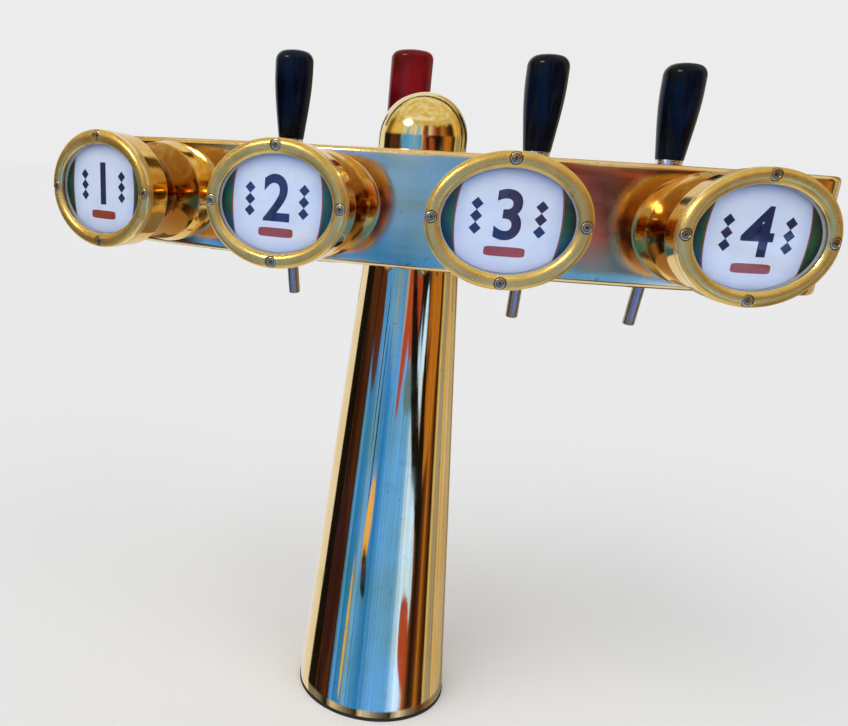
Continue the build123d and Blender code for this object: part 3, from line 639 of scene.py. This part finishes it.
def makeRing(index, place):
    # crowned ring; round each screw the crown is cut down to a flat seat
    crown, base, seatDepth = pick(pod, "crown length seatDepth")
    width, innerDrop, outerDrop, power = pick(ringShape, "width innerDrop outerDrop power")
    half = width / 2
    t = np.linspace(-1, 1, num=25)
    drop = np.where(t < 0, innerDrop, outerDrop) * np.abs(t) ** power
    top = np.stack([-half + t * half, crown - drop], 1)[::-1]
    outer = ringShape["outerSide"] + [0, base]
    rebate, rebateTop = -ringShape["rebate"][0], base + ringShape["rebate"][1]
    innerTop = crown - ringShape["innerSide"]
    inner = [(-width, innerTop), (-width, rebateTop), (rebate, rebateTop), (rebate, base)]
    profile = np.concatenate([outer, top, inner])
    x, along, z = ovalPoints(profile, steps=864)
    share, height = -profile[:, 0] / width, profile[:, 1]
    # painted highlight along the crown's outer and inner edges
    outerHighlight, innerFrom, innerHighlight, down = ringShape["wearAndHighlight"]
    wearAndHighlight = np.maximum(np.clip(1 - share / outerHighlight, 0, 1), np.clip((share - innerFrom) / innerHighlight, 0, 1))
    edge = wearAndHighlight * (height > crown - down)
    # painted shade along the joint with the pod
    jointTop, jointShade = ringShape["joint"]
    paintedShade = jointShade * (height < base + jointTop)
    # painted shade in the seats round the screws
    radius, limit, fade, shade, start, below = ringShape["seat"]
    seat = crown - seatDepth - below
    for cx, cz in screwCentres():
        cut = np.clip((limit - np.hypot(x - cx, z - cz) / radius) / fade, 0, 1)
        front = along > base + start
        paintedShade = np.where(front, np.maximum(paintedShade, shade * cut), paintedShade)
        along = np.where(front, along - cut * np.clip(along - seat, 0, None), along)
    marks = {"edge": edge * (paintedShade < 0.1), "paintedShade": paintedShade}
    points = placed(place, x, along, z)
    piece = gridSurface(f"bezelRing{index}", points, loopU=True, loopV=True, sharp=30, marks=marks)
    settle(piece, ringBrass, [f"bezel_ring_{index}"])


lensShape = {
    "inset": 12 * mm, "foot": 83.9 * mm, "rim": 88.0 * mm, "rise": 3.7 * mm, "domePower": 0.9,
    "thick": 2.0 * mm, "inner": 0.955, "innerLower": 0.2 * mm,
}


def makeLens(index, place):
    # shallow clear dome, two millimetres thick, on a short upright rim above the printed face
    a, b = pod["halfWidth"] - lensShape["inset"], pod["halfHeight"] - lensShape["inset"]
    rim, foot, rise, inner = pick(lensShape, "rim foot rise inner")
    innerRim, innerRise = rim - lensShape["thick"], rise - lensShape["innerLower"]
    t = np.linspace(0, 1, num=28)
    outside = np.stack([t, rim + rise * (1 - t**2) ** lensShape["domePower"]], 1)
    inside = np.stack([t[::-1] * inner, innerRim + innerRise * (1 - t[::-1] ** 2)], 1)
    profile = np.concatenate([outside, [(1.0, foot), (inner, foot)], inside])
    u = fullTurn(steps=160)
    points = placed(place, a * profile[:, 0] * np.cos(u), profile[:, 1][None], b * profile[:, 0] * np.sin(u))
    settle(gridSurface(f"lens{index}", points, loopU=True), window, [f"lens_{index}"])


badge = {
    "back": 82 * mm, "face": 83.5 * mm, "ink": 0.08 * mm,
    # half widths and half heights of the ovals, and the width of the field's outline
    "rim": (53.9 * mm, 41.9 * mm), "sides": (50.2 * mm, 38.2 * mm), "printed": (49.9 * mm, 37.9 * mm),
    "field": (39.5 * mm, 66 * mm), "line": 1.1 * mm,
    "figure": 50 * mm, "figureAt": 5 * mm, "bolder": 0.022,
    "bar": (15.5 * mm, 3.6 * mm), "barPower": 6, "barAt": -22 * mm,
    "mark": 4.6 * mm, "marksAside": 24 * mm, "markHeights": (12 * mm, 3 * mm, -6 * mm),
}
# rings of points on a printed plate, as shares of its edge; the last two are on its back
plainRings = np.array([0.0, 1, 1, 0])
shadedRings = np.array([0, 0.5, 0.66, 0.76, 0.84, 0.9, 0.95, 1, 1, 0])
plateCos, plateSin = np.cos(fullTurn(steps=128)), np.sin(fullTurn(steps=128))


def polarPlate(name, place, edge, low, high, centre=(0.0, 0.0), paintedShade=None):
    # flat plate with an edge given by its radii in a full turn, between two distances on the axis
    rings = plainRings if paintedShade is None else shadedRings
    along = np.where(np.arange(len(rings)) < len(rings) - 2, high, low)[None]
    x, z = centre[0] + edge * rings * plateCos, centre[1] + edge * rings * plateSin
    marks = {"paintedShade": 0.0 if paintedShade is None else paintedShade}
    return gridSurface(name, placed(place, x, along, z), loopU=True, marks=marks)


def ellipse(halfWidth, halfHeight):
    return halfWidth * halfHeight / np.hypot(halfHeight * plateCos, halfWidth * plateSin)


def textMesh(name, words, size, place, centre, along, thick):
    # plain figure made a mesh, centred, then carried to its place
    curve = bpy.data.curves.new(name, "FONT")
    curve.body = words
    curve.size = size
    curve.align_x = "CENTER"
    curve.align_y = "CENTER"
    curve.extrude = thick / 2
    curve.offset = size * badge["bolder"]
    shape = bpy.data.objects.new(name, curve)
    mesh = bpy.data.meshes.new_from_object(shape)
    bpy.data.objects.remove(shape)
    flat = np.zeros(len(mesh.vertices) * 3, np.float32)
    mesh.vertices.foreach_get("co", flat)
    flat = flat.reshape(-1, 3)
    middle = (flat.max(0) + flat.min(0)) / 2
    x, z = flat[:, 0] - middle[0] + centre[0], flat[:, 1] - middle[1] + centre[1]
    points = placed(place, x, flat[:, 2] + along, z)
    mesh.vertices.foreach_set("co", points.astype(np.float32).ravel())
    return closedUp(name, mesh)


def makeBadge(index, place):
    # a plate, then layers of ink on it: green sides, rust outline, pale field, bar, figure and lozenges
    face, ink = badge["face"], badge["ink"]
    rim, sides, printed, field = [ellipse(*badge[oval]) for oval in ("rim", "sides", "printed", "field")]
    line, field = np.minimum(field + badge["line"], printed), np.minimum(field, printed)
    behind, above, onField = face - 2 * ink, face + 2 * ink, face + 3 * ink
    # painted shade: the green deepens to the left and right, the pale field upwards, each in its outer rings
    sideways = np.clip((shadedRings - 0.76) / 0.24, 0, 1) * np.abs(plateCos)
    upwards = np.clip((shadedRings - 0.7) / 0.3, 0, 1) ** 1.5 * (0.35 + 0.6 * np.clip(plateSin, 0, 1))
    layers = [
        ("Plate", rim, badge["back"], behind, whiteRim, [f"badge_plate_{index}"], None),
        ("Sides", sides, behind, face, greenField, [], sideways),
        ("Edge", line, face, face + ink, rustInk, [], None),
        ("Field", field, face, above, paleField, [], upwards),
    ]
    for layer, edge, low, high, material, replaced, paintedShade in layers:
        plate = polarPlate(f"badge{layer}{index}", place, edge, low, high, paintedShade=paintedShade)
        settle(plate, material, replaced)
    (wide, tall), power = badge["bar"], badge["barPower"]
    bar = (np.abs(plateCos / wide) ** power + np.abs(plateSin / tall) ** power) ** (-1 / power)
    bar = polarPlate(f"badgeBar{index}", place, bar, above, onField, (0, badge["barAt"]))
    settle(bar, rustInk)
    middle, level = (0, badge["figureAt"]), face + 2.5 * ink
    figure = textMesh(f"badgeFigure{index}", str(index), badge["figure"], place, middle, level, ink)
    settle(figure, navyInk)
    lozenge = badge["mark"] / (np.abs(plateCos) + np.abs(plateSin))
    for side in (-1, 1):
        for row, height in enumerate(badge["markHeights"]):
            name, centre = f"badgeMark{index}_{side + 1}{row}", (side * badge["marksAside"], height)
            settle(polarPlate(name, place, lozenge, above, onField, centre), navyInk)


bezelScrew = {
    "radius": 4.2 * mm,
    # lobes, mean radius and swing as shares of the head's, depth, width of the edge, depth at full shade
    "recess": (6, 0.33, 0.045, 1.3 * mm, 0.15 * mm, 0.4 * mm),
    # shares of the radius: where the painted shade in the groove and the painted highlight on the rim are,
    # and their half widths
    "groove": (0.64, 0.06), "rim": (0.84, 0.13), "rimShine": 0.9,
    # the head from its middle outwards: share of the radius, height
    "radial": np.array([0, .16, .28, .32, .36, .4, .5, .56, .6, .68, .72, .76, .86, .96, 1, 1, 0]),
    "heights": np.array([0] * 7 + [-0.1, -0.5, -0.5, -0.1, 0.1, 0.12, -0.1, -0.4, -2.4, -2.4]) * mm,
}


def makeBezelScrews():
    # round heads: raised rim, groove, low dome with a six-lobed recess
    top = pod["crown"] - pod["seatDepth"]
    radius, radial, height = pick(bezelScrew, "radius radial heights")
    lobes, mean, swing, deepest, edge, dark = bezelScrew["recess"]

    def near(middle, half):
        return np.clip(1 - np.abs(radial - middle) / half, 0, 1)

    groove = near(*bezelScrew["groove"])
    rim = near(*bezelScrew["rim"]) * (height > -1 * mm) * bezelScrew["rimShine"]
    angle = fullTurn(steps=72)
    reach = radial[None] * radius
    lobe = radius * (mean + swing * np.cos(lobes * angle))
    depth = np.clip((lobe - reach) / edge + 0.5, 0, 1) * deepest
    height = height - np.where(height > -2 * mm, depth, 0)
    # painted shade in the groove and the recess, painted highlight on the rim
    marks = {"paintedShade": np.maximum(groove, np.clip(depth / dark, 0, 1)), "edge": rim}
    spots = [(place, spot) for place in podPlaces for spot in screwCentres()]
    for number, (place, (cx, cz)) in enumerate(spots):
        points = placed(place, cx + reach * np.cos(angle), top + height, cz + reach * np.sin(angle))
        screw = gridSurface(f"bezelScrew{number}", points, loopU=True, sharp=40, marks=marks)
        settle(screw, screwSteel, [] if number else ["bezel_screws"])


for index, place in enumerate(podPlaces, start=1):
    makePod(index, place)
    makeRing(index, place)
    makeLens(index, place)
    makeBadge(index, place)
makeBezelScrews()
print("medallions")

# heights above the beam's middle; the lever stands leverAt from the beam's back
tap = {"leverAt": 59 * mm, "ferruleFoot": 49 * mm, "ferruleHeight": 10 * mm, "gripLength": 88 * mm}
gripEnds = {"swell": 0.12, "edge": 0.6 * mm, "crown": 2.5 * mm, "crownFrom": 0.35}
clubGrip = {"foot": 13.6 * mm, "widest": 20.2 * mm, "widestAt": 66 * mm, "shoulder": 10.5 * mm,
            "paint": navyPaint, "slot": "handle_navy"}
drumGrip = {"foot": 16.5 * mm, "widest": 20.8 * mm, "widestAt": 34 * mm, "shoulder": 7.5 * mm,
            "paint": redPaint, "slot": "handle_red"}


def gripProfile(grip):
    # swelling side, straight stretch, rounded shoulder, low crown
    foot, widest, rise, shoulder = pick(grip, "foot widest widestAt shoulder")
    swell, edge, low, crownFrom = pick(gripEnds, "swell edge crown crownFrom")
    side = hermite((foot, 0), (widest, rise), (swell * rise, rise), (0, rise), steps=30)

    def crownAt(r):
        return tap["gripLength"] - low * (r / widest) ** 2

    inner = widest * crownFrom
    corners = [(widest, rise), (widest, tap["gripLength"] - low, shoulder), (inner, crownAt(inner))]
    top = rounded(corners, steps=14)
    crown = np.array([(r, crownAt(r)) for r in np.linspace(inner, 0, num=8)])
    return np.concatenate([[(0, 0)], [(foot - edge, 0)], side[:1] + [0, edge], side[2:-1], top[:-1], crown])


def makeGrip(index, place):
    grip = drumGrip if index == 2 else clubGrip
    axis = (tap["leverAt"], tap["ferruleFoot"] + tap["ferruleHeight"])
    piece = turned(f"grip{index}", place, gripProfile(grip), steps=128, foot=axis)
    settle(piece, grip["paint"], [f"handle_{index}"], body=f"tap_lever_{index}")


ferrule = {
    "radius": 13.2 * mm, "foot": 9 * mm, "coneTop": 4 * mm, "groove": 0.7 * mm, "grooveEdge": 0.2 * mm,
    "grooveHeights": np.array([6.6, 7, 7.6, 8]) * mm,
}


def makeFerrule(index, place):
    # collar on a short cone, with a turned groove round it
    wide, height, edge = ferrule["radius"], tap["ferruleHeight"], ferrule["grooveEdge"]
    narrow = wide - ferrule["groove"]
    groove = zip((wide, narrow, narrow, wide), ferrule["grooveHeights"])
    profile = rounded([
        (0, 0), (ferrule["foot"], 0, 0.6 * mm), (wide, ferrule["coneTop"], 0.8 * mm),
        *[(radius, z, edge) for radius, z in groove], (wide, height, 0.4 * mm), (0, height),
    ])
    axis = (tap["leverAt"], tap["ferruleFoot"])
    piece = turned(f"ferrule{index}", place, profile, steps=96, foot=axis)
    settle(piece, plated, [f"ferrule_{index}"], body=f"tap_lever_{index}")


spout = {
    "radius": 6.4 * mm, "wall": 1.2 * mm, "lean": math.radians(12), "from": 26 * mm - 8 * mm, "to": 108 * mm,
    "outerEdge": 0.5 * mm, "innerEdge": 0.4 * mm,
}


def makeSpout(index, place):
    # straight tube leaning away from the beam, its tip slightly rounded
    origin, across, outward, up = place
    lean, outer = spout["lean"], spout["radius"]
    down = -math.cos(lean) * up + math.sin(lean) * outward
    side = np.cross(across, down)
    foot = origin + tap["leverAt"] * outward
    inner, near, far = outer - spout["wall"], spout["from"], spout["to"] / math.cos(lean)
    tip = [(outer, far, spout["outerEdge"]), (inner, far, spout["innerEdge"])]
    corners = [(inner, near), (outer, near), *tip, (inner, near)]
    profile = dense(rounded(corners), spacing=12 * mm)[:-1]
    piece = turned(f"spout{index}", (foot, across, side, down), profile, steps=64, loop=True)
    settle(piece, stainless, [f"spout_{index}"])


for index, place in enumerate(tapPlaces, start=1):
    makeGrip(index, place)
    makeFerrule(index, place)
    makeSpout(index, place)
print("taps")

# millimetres, radians and picture elements
view = {
    "eye": (135.165, -792.013, 529.744), "heading": -0.266144, "pitch": -0.331142, "roll": 0.064651,
    "focal": 830.66, "frame": (848, 726), "axisAt": (315, 458), "sensor": 36, "clip": (0.02, 50),
}


def makeCamera():
    a, b, c = view["heading"], view["pitch"], view["roll"]
    forward = Vector((math.sin(a) * math.cos(b), math.cos(a) * math.cos(b), math.sin(b)))
    level = Vector((math.cos(a), -math.sin(a), 0))
    steep = level.cross(forward)
    right = level * math.cos(c) + steep * math.sin(c)
    up = steep * math.cos(c) - level * math.sin(c)
    data = bpy.data.cameras.new("camera")
    wide, high = view["frame"]
    data.sensor_width = view["sensor"]
    data.lens = view["sensor"] * view["focal"] / wide
    data.shift_x = (wide / 2 - view["axisAt"][0]) / wide
    data.shift_y = (view["axisAt"][1] - high / 2) / wide
    data.clip_start, data.clip_end = view["clip"]
    camera = bpy.data.objects.new("camera", data)
    matrix = Matrix((right, up, -forward)).transposed().to_4x4()
    matrix.translation = Vector(view["eye"]) * mm
    camera.matrix_world = matrix
    bpy.context.scene.collection.objects.link(camera)
    bpy.context.scene.camera = camera


makeCamera()

# metres and degrees; the wall's tones are laid out in units of wallScale metres from wallDatum up
studio = {
    "floorSize": 400.0, "paleTone": 0.84, "ambient": 0.58,
    "wallRadius": 12.0, "wallFrom": -112, "wallTo": 200, "wallLow": -18.0, "wallHigh": 13.5,
    "wallScale": 3.28, "wallDatum": -0.96,
    "canopyHeight": 3.0, "canopyAcross": (-3.0, 3.0), "canopyAway": (-2.5, 1.4),
    "archRadius": 3.0, "archTurn": math.radians(10), "archFrom": 18, "archTo": 162,
    "archDepths": (1.55, 2.25), "lampAngle": 50,
    "keyFrom": (-0.5, -0.8, 1.0), "keyPower": 1.25, "fillFrom": (0.9, -0.5, 0.8), "fillPower": 0.55,
}


def makeFloor():
    half = studio["floorSize"] / 2
    corners = np.array([[(-half, -half, 0), (-half, half, 0)], [(half, -half, 0), (half, half, 0)]], float)
    floor = gridSurface("floor", corners)
    material, wire, shader, where = newMaterial("paleFloor", Roughness=0.9)
    tone = studio["paleTone"]
    shader.inputs["Base Color"].default_value = (tone, tone, tone, 1.0)
    shader.inputs["Specular IOR Level"].default_value = 0.0
    floor.data.materials.append(material)
    floor.visible_glossy = False


def makeLamp(name, comesFrom, power):
    data = bpy.data.lights.new(name, "SUN")
    data.energy = power
    data.angle = math.radians(studio["lampAngle"])
    lamp = bpy.data.objects.new(name, data)
    lamp.rotation_euler = (-Vector(comesFrom)).to_track_quat("-Z", "Y").to_euler()
    lamp.visible_glossy = False
    bpy.context.scene.collection.objects.link(lamp)


def glowingCard(name, points, tonesOf):
    # a card that only polished metal shows; tonesOf gives its colour, strength and clearness
    card = gridSurface(name, points)
    card.visible_camera = card.visible_diffuse = card.visible_shadow = card.visible_transmission = False
    material, wire, where = bareMaterial(name)
    material.cycles.emission_sampling = "NONE"
    apart = wire.node("SeparateXYZ", {0: where})
    x, y, z = [Wire(wire.tree, apart.socket.node.outputs[i]) for i in range(3)]
    tone, strength, clearness = tonesOf(wire, where, x, y, z)
    glow = wire.node("Emission", {"Color": tone, "Strength": strength})
    clear = wire.node("BsdfTransparent", {"Color": (1, 1, 1)})
    surfaceMix(wire, clearness, glow, clear)
    card.data.materials.append(material)


tones = {
    "black": (0.010, 0.009, 0.008), "umber": (0.10, 0.035, 0.018), "rust": (0.46, 0.09, 0.045),
    "plum": (0.045, 0.018, 0.024), "blue": (0.08, 0.38, 1.40), "deepBlue": (0.03, 0.30, 1.30),
    "skyBlue": (0.14, 0.52, 1.70), "white": (0.65, 1.15, 2.5), "amber": (0.50, 0.20, 0.03),
    "gold": (0.95, 0.62, 0.18), "steel": (0.24, 0.50, 1.05), "sand": (0.62, 0.52, 0.34),
    "shade": (0.30, 0.24, 0.15), "grey": (0.26, 0.25, 0.24), "pale": (0.80, 0.78, 0.74),
    "olive": (0.10, 0.08, 0.025), "straw": (0.80, 0.64, 0.24), "dusk": (0.38, 0.38, 0.36),
    "slate": (0.13, 0.30, 0.52),
}

# the wall's rows of tones by azimuth, in degrees from the customer's side, between wallFrom and wallTo
wallRows = {
    "ground": {
        -112: "shade", -84: "grey", -62: "black", -50: "pale", -30: "grey", -10: "black",
        -2: "pale", 20: "grey", 45: "black", 58: "pale", 76: "grey", 98: "umber",
        125: "shade", 150: "grey", 200: "shade"},
    "low": {
        -112: "black", -86: "black", -84: "umber", -82: "black", -62: "umber", -58: "black",
        -54: "skyBlue", -48: "deepBlue", -35: "blue", -33: "steel", -30: "skyBlue",
        -12: "deepBlue", 6: "skyBlue", 34: "skyBlue", 46: "white", 54: "white", 60: "amber",
        68: "umber", 74: "black", 80: "umber", 84: "amber", 92: "umber", 98: "black",
        101: "straw", 106: "dusk", 118: "dusk", 121: "gold", 126: "sand", 150: "sand",
        165: "shade", 200: "sand"},
    "high": {
        -112: "black", -84: "black", -76: "umber", -62: "umber", -52: "black", -46: "steel",
        -40: "blue", -20: "skyBlue", -12: "steel", 5: "blue", 10: "sand", 14: "rust",
        30: "umber", 36: "black", 54: "black", 62: "umber", 70: "amber", 82: "amber",
        92: "umber", 99: "black", 102: "straw", 108: "dusk", 120: "dusk", 124: "gold",
        134: "sand", 160: "shade", 170: "umber", 200: "shade"},
    "top": {
        -112: "gold", -92: "olive", -74: "gold", -56: "straw", -38: "pale", -31: "steel",
        -22: "pale", -8: "pale", -6: "steel", 6: "pale", 12: "rust", 20: "umber", 26: "pale",
        40: "rust", 50: "umber", 60: "amber", 78: "umber", 92: "black", 101: "gold",
        140: "shade", 200: "sand"},
}

# patches on it: tone, azimuth, height, half width in degrees, half height, lean in degrees per unit up
patches = (
    ("rust", 30, 0.46, 15, 0.30, 0), ("rust", 14, 0.25, 5, 0.36, 14), ("slate", 31, 0.07, 13, 0.13, 0),
    ("umber", -48, 0.30, 9, 0.36, 0), ("black", 44, 0.02, 8, 0.85, -34), ("white", 57, 0.30, 4, 0.22, 0),
    ("amber", 80, 0.05, 12, 0.55, 16), ("black", 66, -0.30, 6, 0.60, -10),
    ("white", 54, -0.78, 11, 0.44, -14), ("gold", -21, -0.60, 5.5, 0.26, 10),
    ("black", -20, -0.86, 4.5, 0.13, -20), ("rust", 57, -1.24, 8, 0.30, -14),
    ("plum", -75, -1.05, 14, 0.55, 0), ("straw", -38, -1.20, 2.5, 0.40, 0),
    ("deepBlue", -47, -0.8, 5, 0.6, 0), ("black", -30, 0.10, 1.2, 0.45, 3), ("black", -24, -0.1, 0.9, 0.5, 3),
)

# heights over which one row passes into the next, the lit pane (as a patch) that paints highlights, and where
# the wall ends
wallBlend = {"ground": (-1.95, -1.80), "high": (0.10, 0.30), "top": (0.85, 1.15), "sky": (2.3, 3.0)}
pane = {"spot": (-38, 3.0, 15, 0.6, 0), "strength": 16.0, "tone": (1, 0.97, 0.9)}
wallEnds = {"sideFade": (3, 7), "topFade": (3.7, 4.2)}


def wallTones(wire, where, x, y, z):
    # azimuth picks the tone in a row, height picks the row
    first, last = studio["wallFrom"], studio["wallTo"]
    scale = 1 / studio["wallScale"]
    where = where.node("VectorMath", {0: where, 1: (scale, scale, scale)}, operation="MULTIPLY")
    z = (z - studio["wallDatum"]) * scale
    ripple = noise(where, 1.3, 3, 0.55, stretch=(1, 1, 0.22))
    slant = noise(where, 2.3, 3, 0.6, stretch=(1, 1, 0.35), turn=(0.1, 0, 0))
    degree = x.math("ARCTAN2", y * -1.0) * (180 / math.pi) + (ripple - 0.5) * 8.0
    place = (degree - first) / (last - first)

    def row(name):
        stops = [((turn - first) / (last - first), tones[tone]) for turn, tone in wallRows[name].items()]
        return wire.node("ValToRGB", {0: place}, stops=stops)

    def spot(middle, level, wide, tall, lean):
        away = (degree - middle - (z - level) * lean) / wide
        rise = (z - level) / tall
        return (away * away + rise * rise).band(0.65, 1.0, 1.0, 0.0)

    drape = z + (slant - 0.5) * 0.9
    tone = drape.band(*wallBlend["high"]).mixed(row("low"), row("high"))
    tone = z.band(*wallBlend["top"]).mixed(tone, row("top"))
    sky = (slant - 0.5).band(-0.12, 0.12).mixed(tones["straw"], tones["sand"])
    tone = (z + (ripple - 0.5) * 1.4).band(*wallBlend["sky"]).mixed(tone, sky)
    tone = z.band(*wallBlend["ground"]).mixed(row("ground"), tone)
    for name, *figures in patches:
        tone = spot(*figures).mixed(tone, tones[name])
    streaks = noise(where, 22, 5, 0.65, stretch=(1, 1, 0.02)).band(0.36, 0.64, 0.62, 1.2)
    lit = spot(*pane["spot"])
    sideFrom, sideTo = wallEnds["sideFade"]
    outside = degree.band(first + sideFrom, first + sideTo, 1.0, 0.0)
    outside = outside.math("MAXIMUM", z.band(*wallEnds["topFade"]))
    return lit.mixed(tone, pane["tone"]), streaks + lit * pane["strength"], outside


def canopyTones(wire, where, x, y, z):
    # painted reflection of a straw-coloured awning overhead, uneven at its edges
    drift = noise(where, 1.6, 4, 0.6)
    tone = drift.band(0.35, 0.65).mixed(tones["straw"], tones["pale"])
    border = x.math("ABSOLUTE").band(1.9, 2.9).math("MAXIMUM", y.band(-2.4, -1.2, 1.0, 0.0))
    return tone, drift * 0.8 + 0.55, (border + (drift - 0.5) * border.band(0, 0.2)).band(0.3, 0.7)


def archTones(wire, where, x, y, z):
    # painted reflection of a dark frame behind, seen only near the dome's rim
    drift = noise(where, 3.2, 4, 0.6)
    tone = drift.band(0.4, 0.6).mixed(tones["olive"], tones["umber"])
    return tone, drift + 0.4, (drift - 0.5).math("ABSOLUTE").band(0.14, 0.2)


def makeReflectedRoom():
    # what the brass mirrors, as painted reflections on glowing cards: a painted wall curved most of the way
    # round, an awning, a frame behind
    def card(name, coordinates, tonesOf):
        glowingCard(name, np.stack(np.broadcast_arrays(*coordinates), -1), tonesOf)

    radius = studio["wallRadius"]
    angle = np.radians(np.linspace(studio["wallFrom"], studio["wallTo"], num=121))[:, None]
    height = np.linspace(studio["wallLow"], studio["wallHigh"], num=5)[None]
    card("paintedWall", (radius * np.sin(angle), -radius * np.cos(angle), height), wallTones)
    across, away = np.array(studio["canopyAcross"])[:, None], np.array(studio["canopyAway"])[None]
    card("awningReflection", (across, away, studio["canopyHeight"]), canopyTones)
    # half a hoop about the line from the camera through the dome
    turn, reach, depth = studio["archTurn"], studio["archRadius"], np.array(studio["archDepths"])[None]
    sweep = np.radians(np.linspace(studio["archFrom"], studio["archTo"], num=49))[:, None]
    aside, rise = reach * np.cos(sweep), reach * np.sin(sweep)
    x = aside * math.cos(turn) - depth * math.sin(turn)
    y = aside * math.sin(turn) + depth * math.cos(turn)
    card("frameReflection", (x, y, beam["top"] + rise), archTones)


def makeWorld():
    # one pale tone all round; it lights the object a little less than it shows
    world = bpy.data.worlds.new("studio")
    bpy.context.scene.world = world
    world.use_nodes = True
    tree = world.node_tree
    wire = Wire(tree)
    path = wire.node("LightPath", out="Is Camera Ray")
    outputs = path.socket.node.outputs
    seen = path + Wire(tree, outputs["Is Glossy Ray"]) + Wire(tree, outputs["Is Transmission Ray"])
    seen = seen.math("MINIMUM", 1.0)
    strength = seen * (studio["paleTone"] - studio["ambient"]) + studio["ambient"]
    tree.links.new(strength.socket, tree.nodes["Background"].inputs["Strength"])
    tree.nodes["Background"].inputs["Color"].default_value = (1, 1, 1, 1)


makeFloor()
makeWorld()
makeReflectedRoom()
makeLamp("key", studio["keyFrom"], studio["keyPower"])
makeLamp("fill", studio["fillFrom"], studio["fillPower"])
bpy.context.scene.view_settings.view_transform = "Standard"
print("studio")
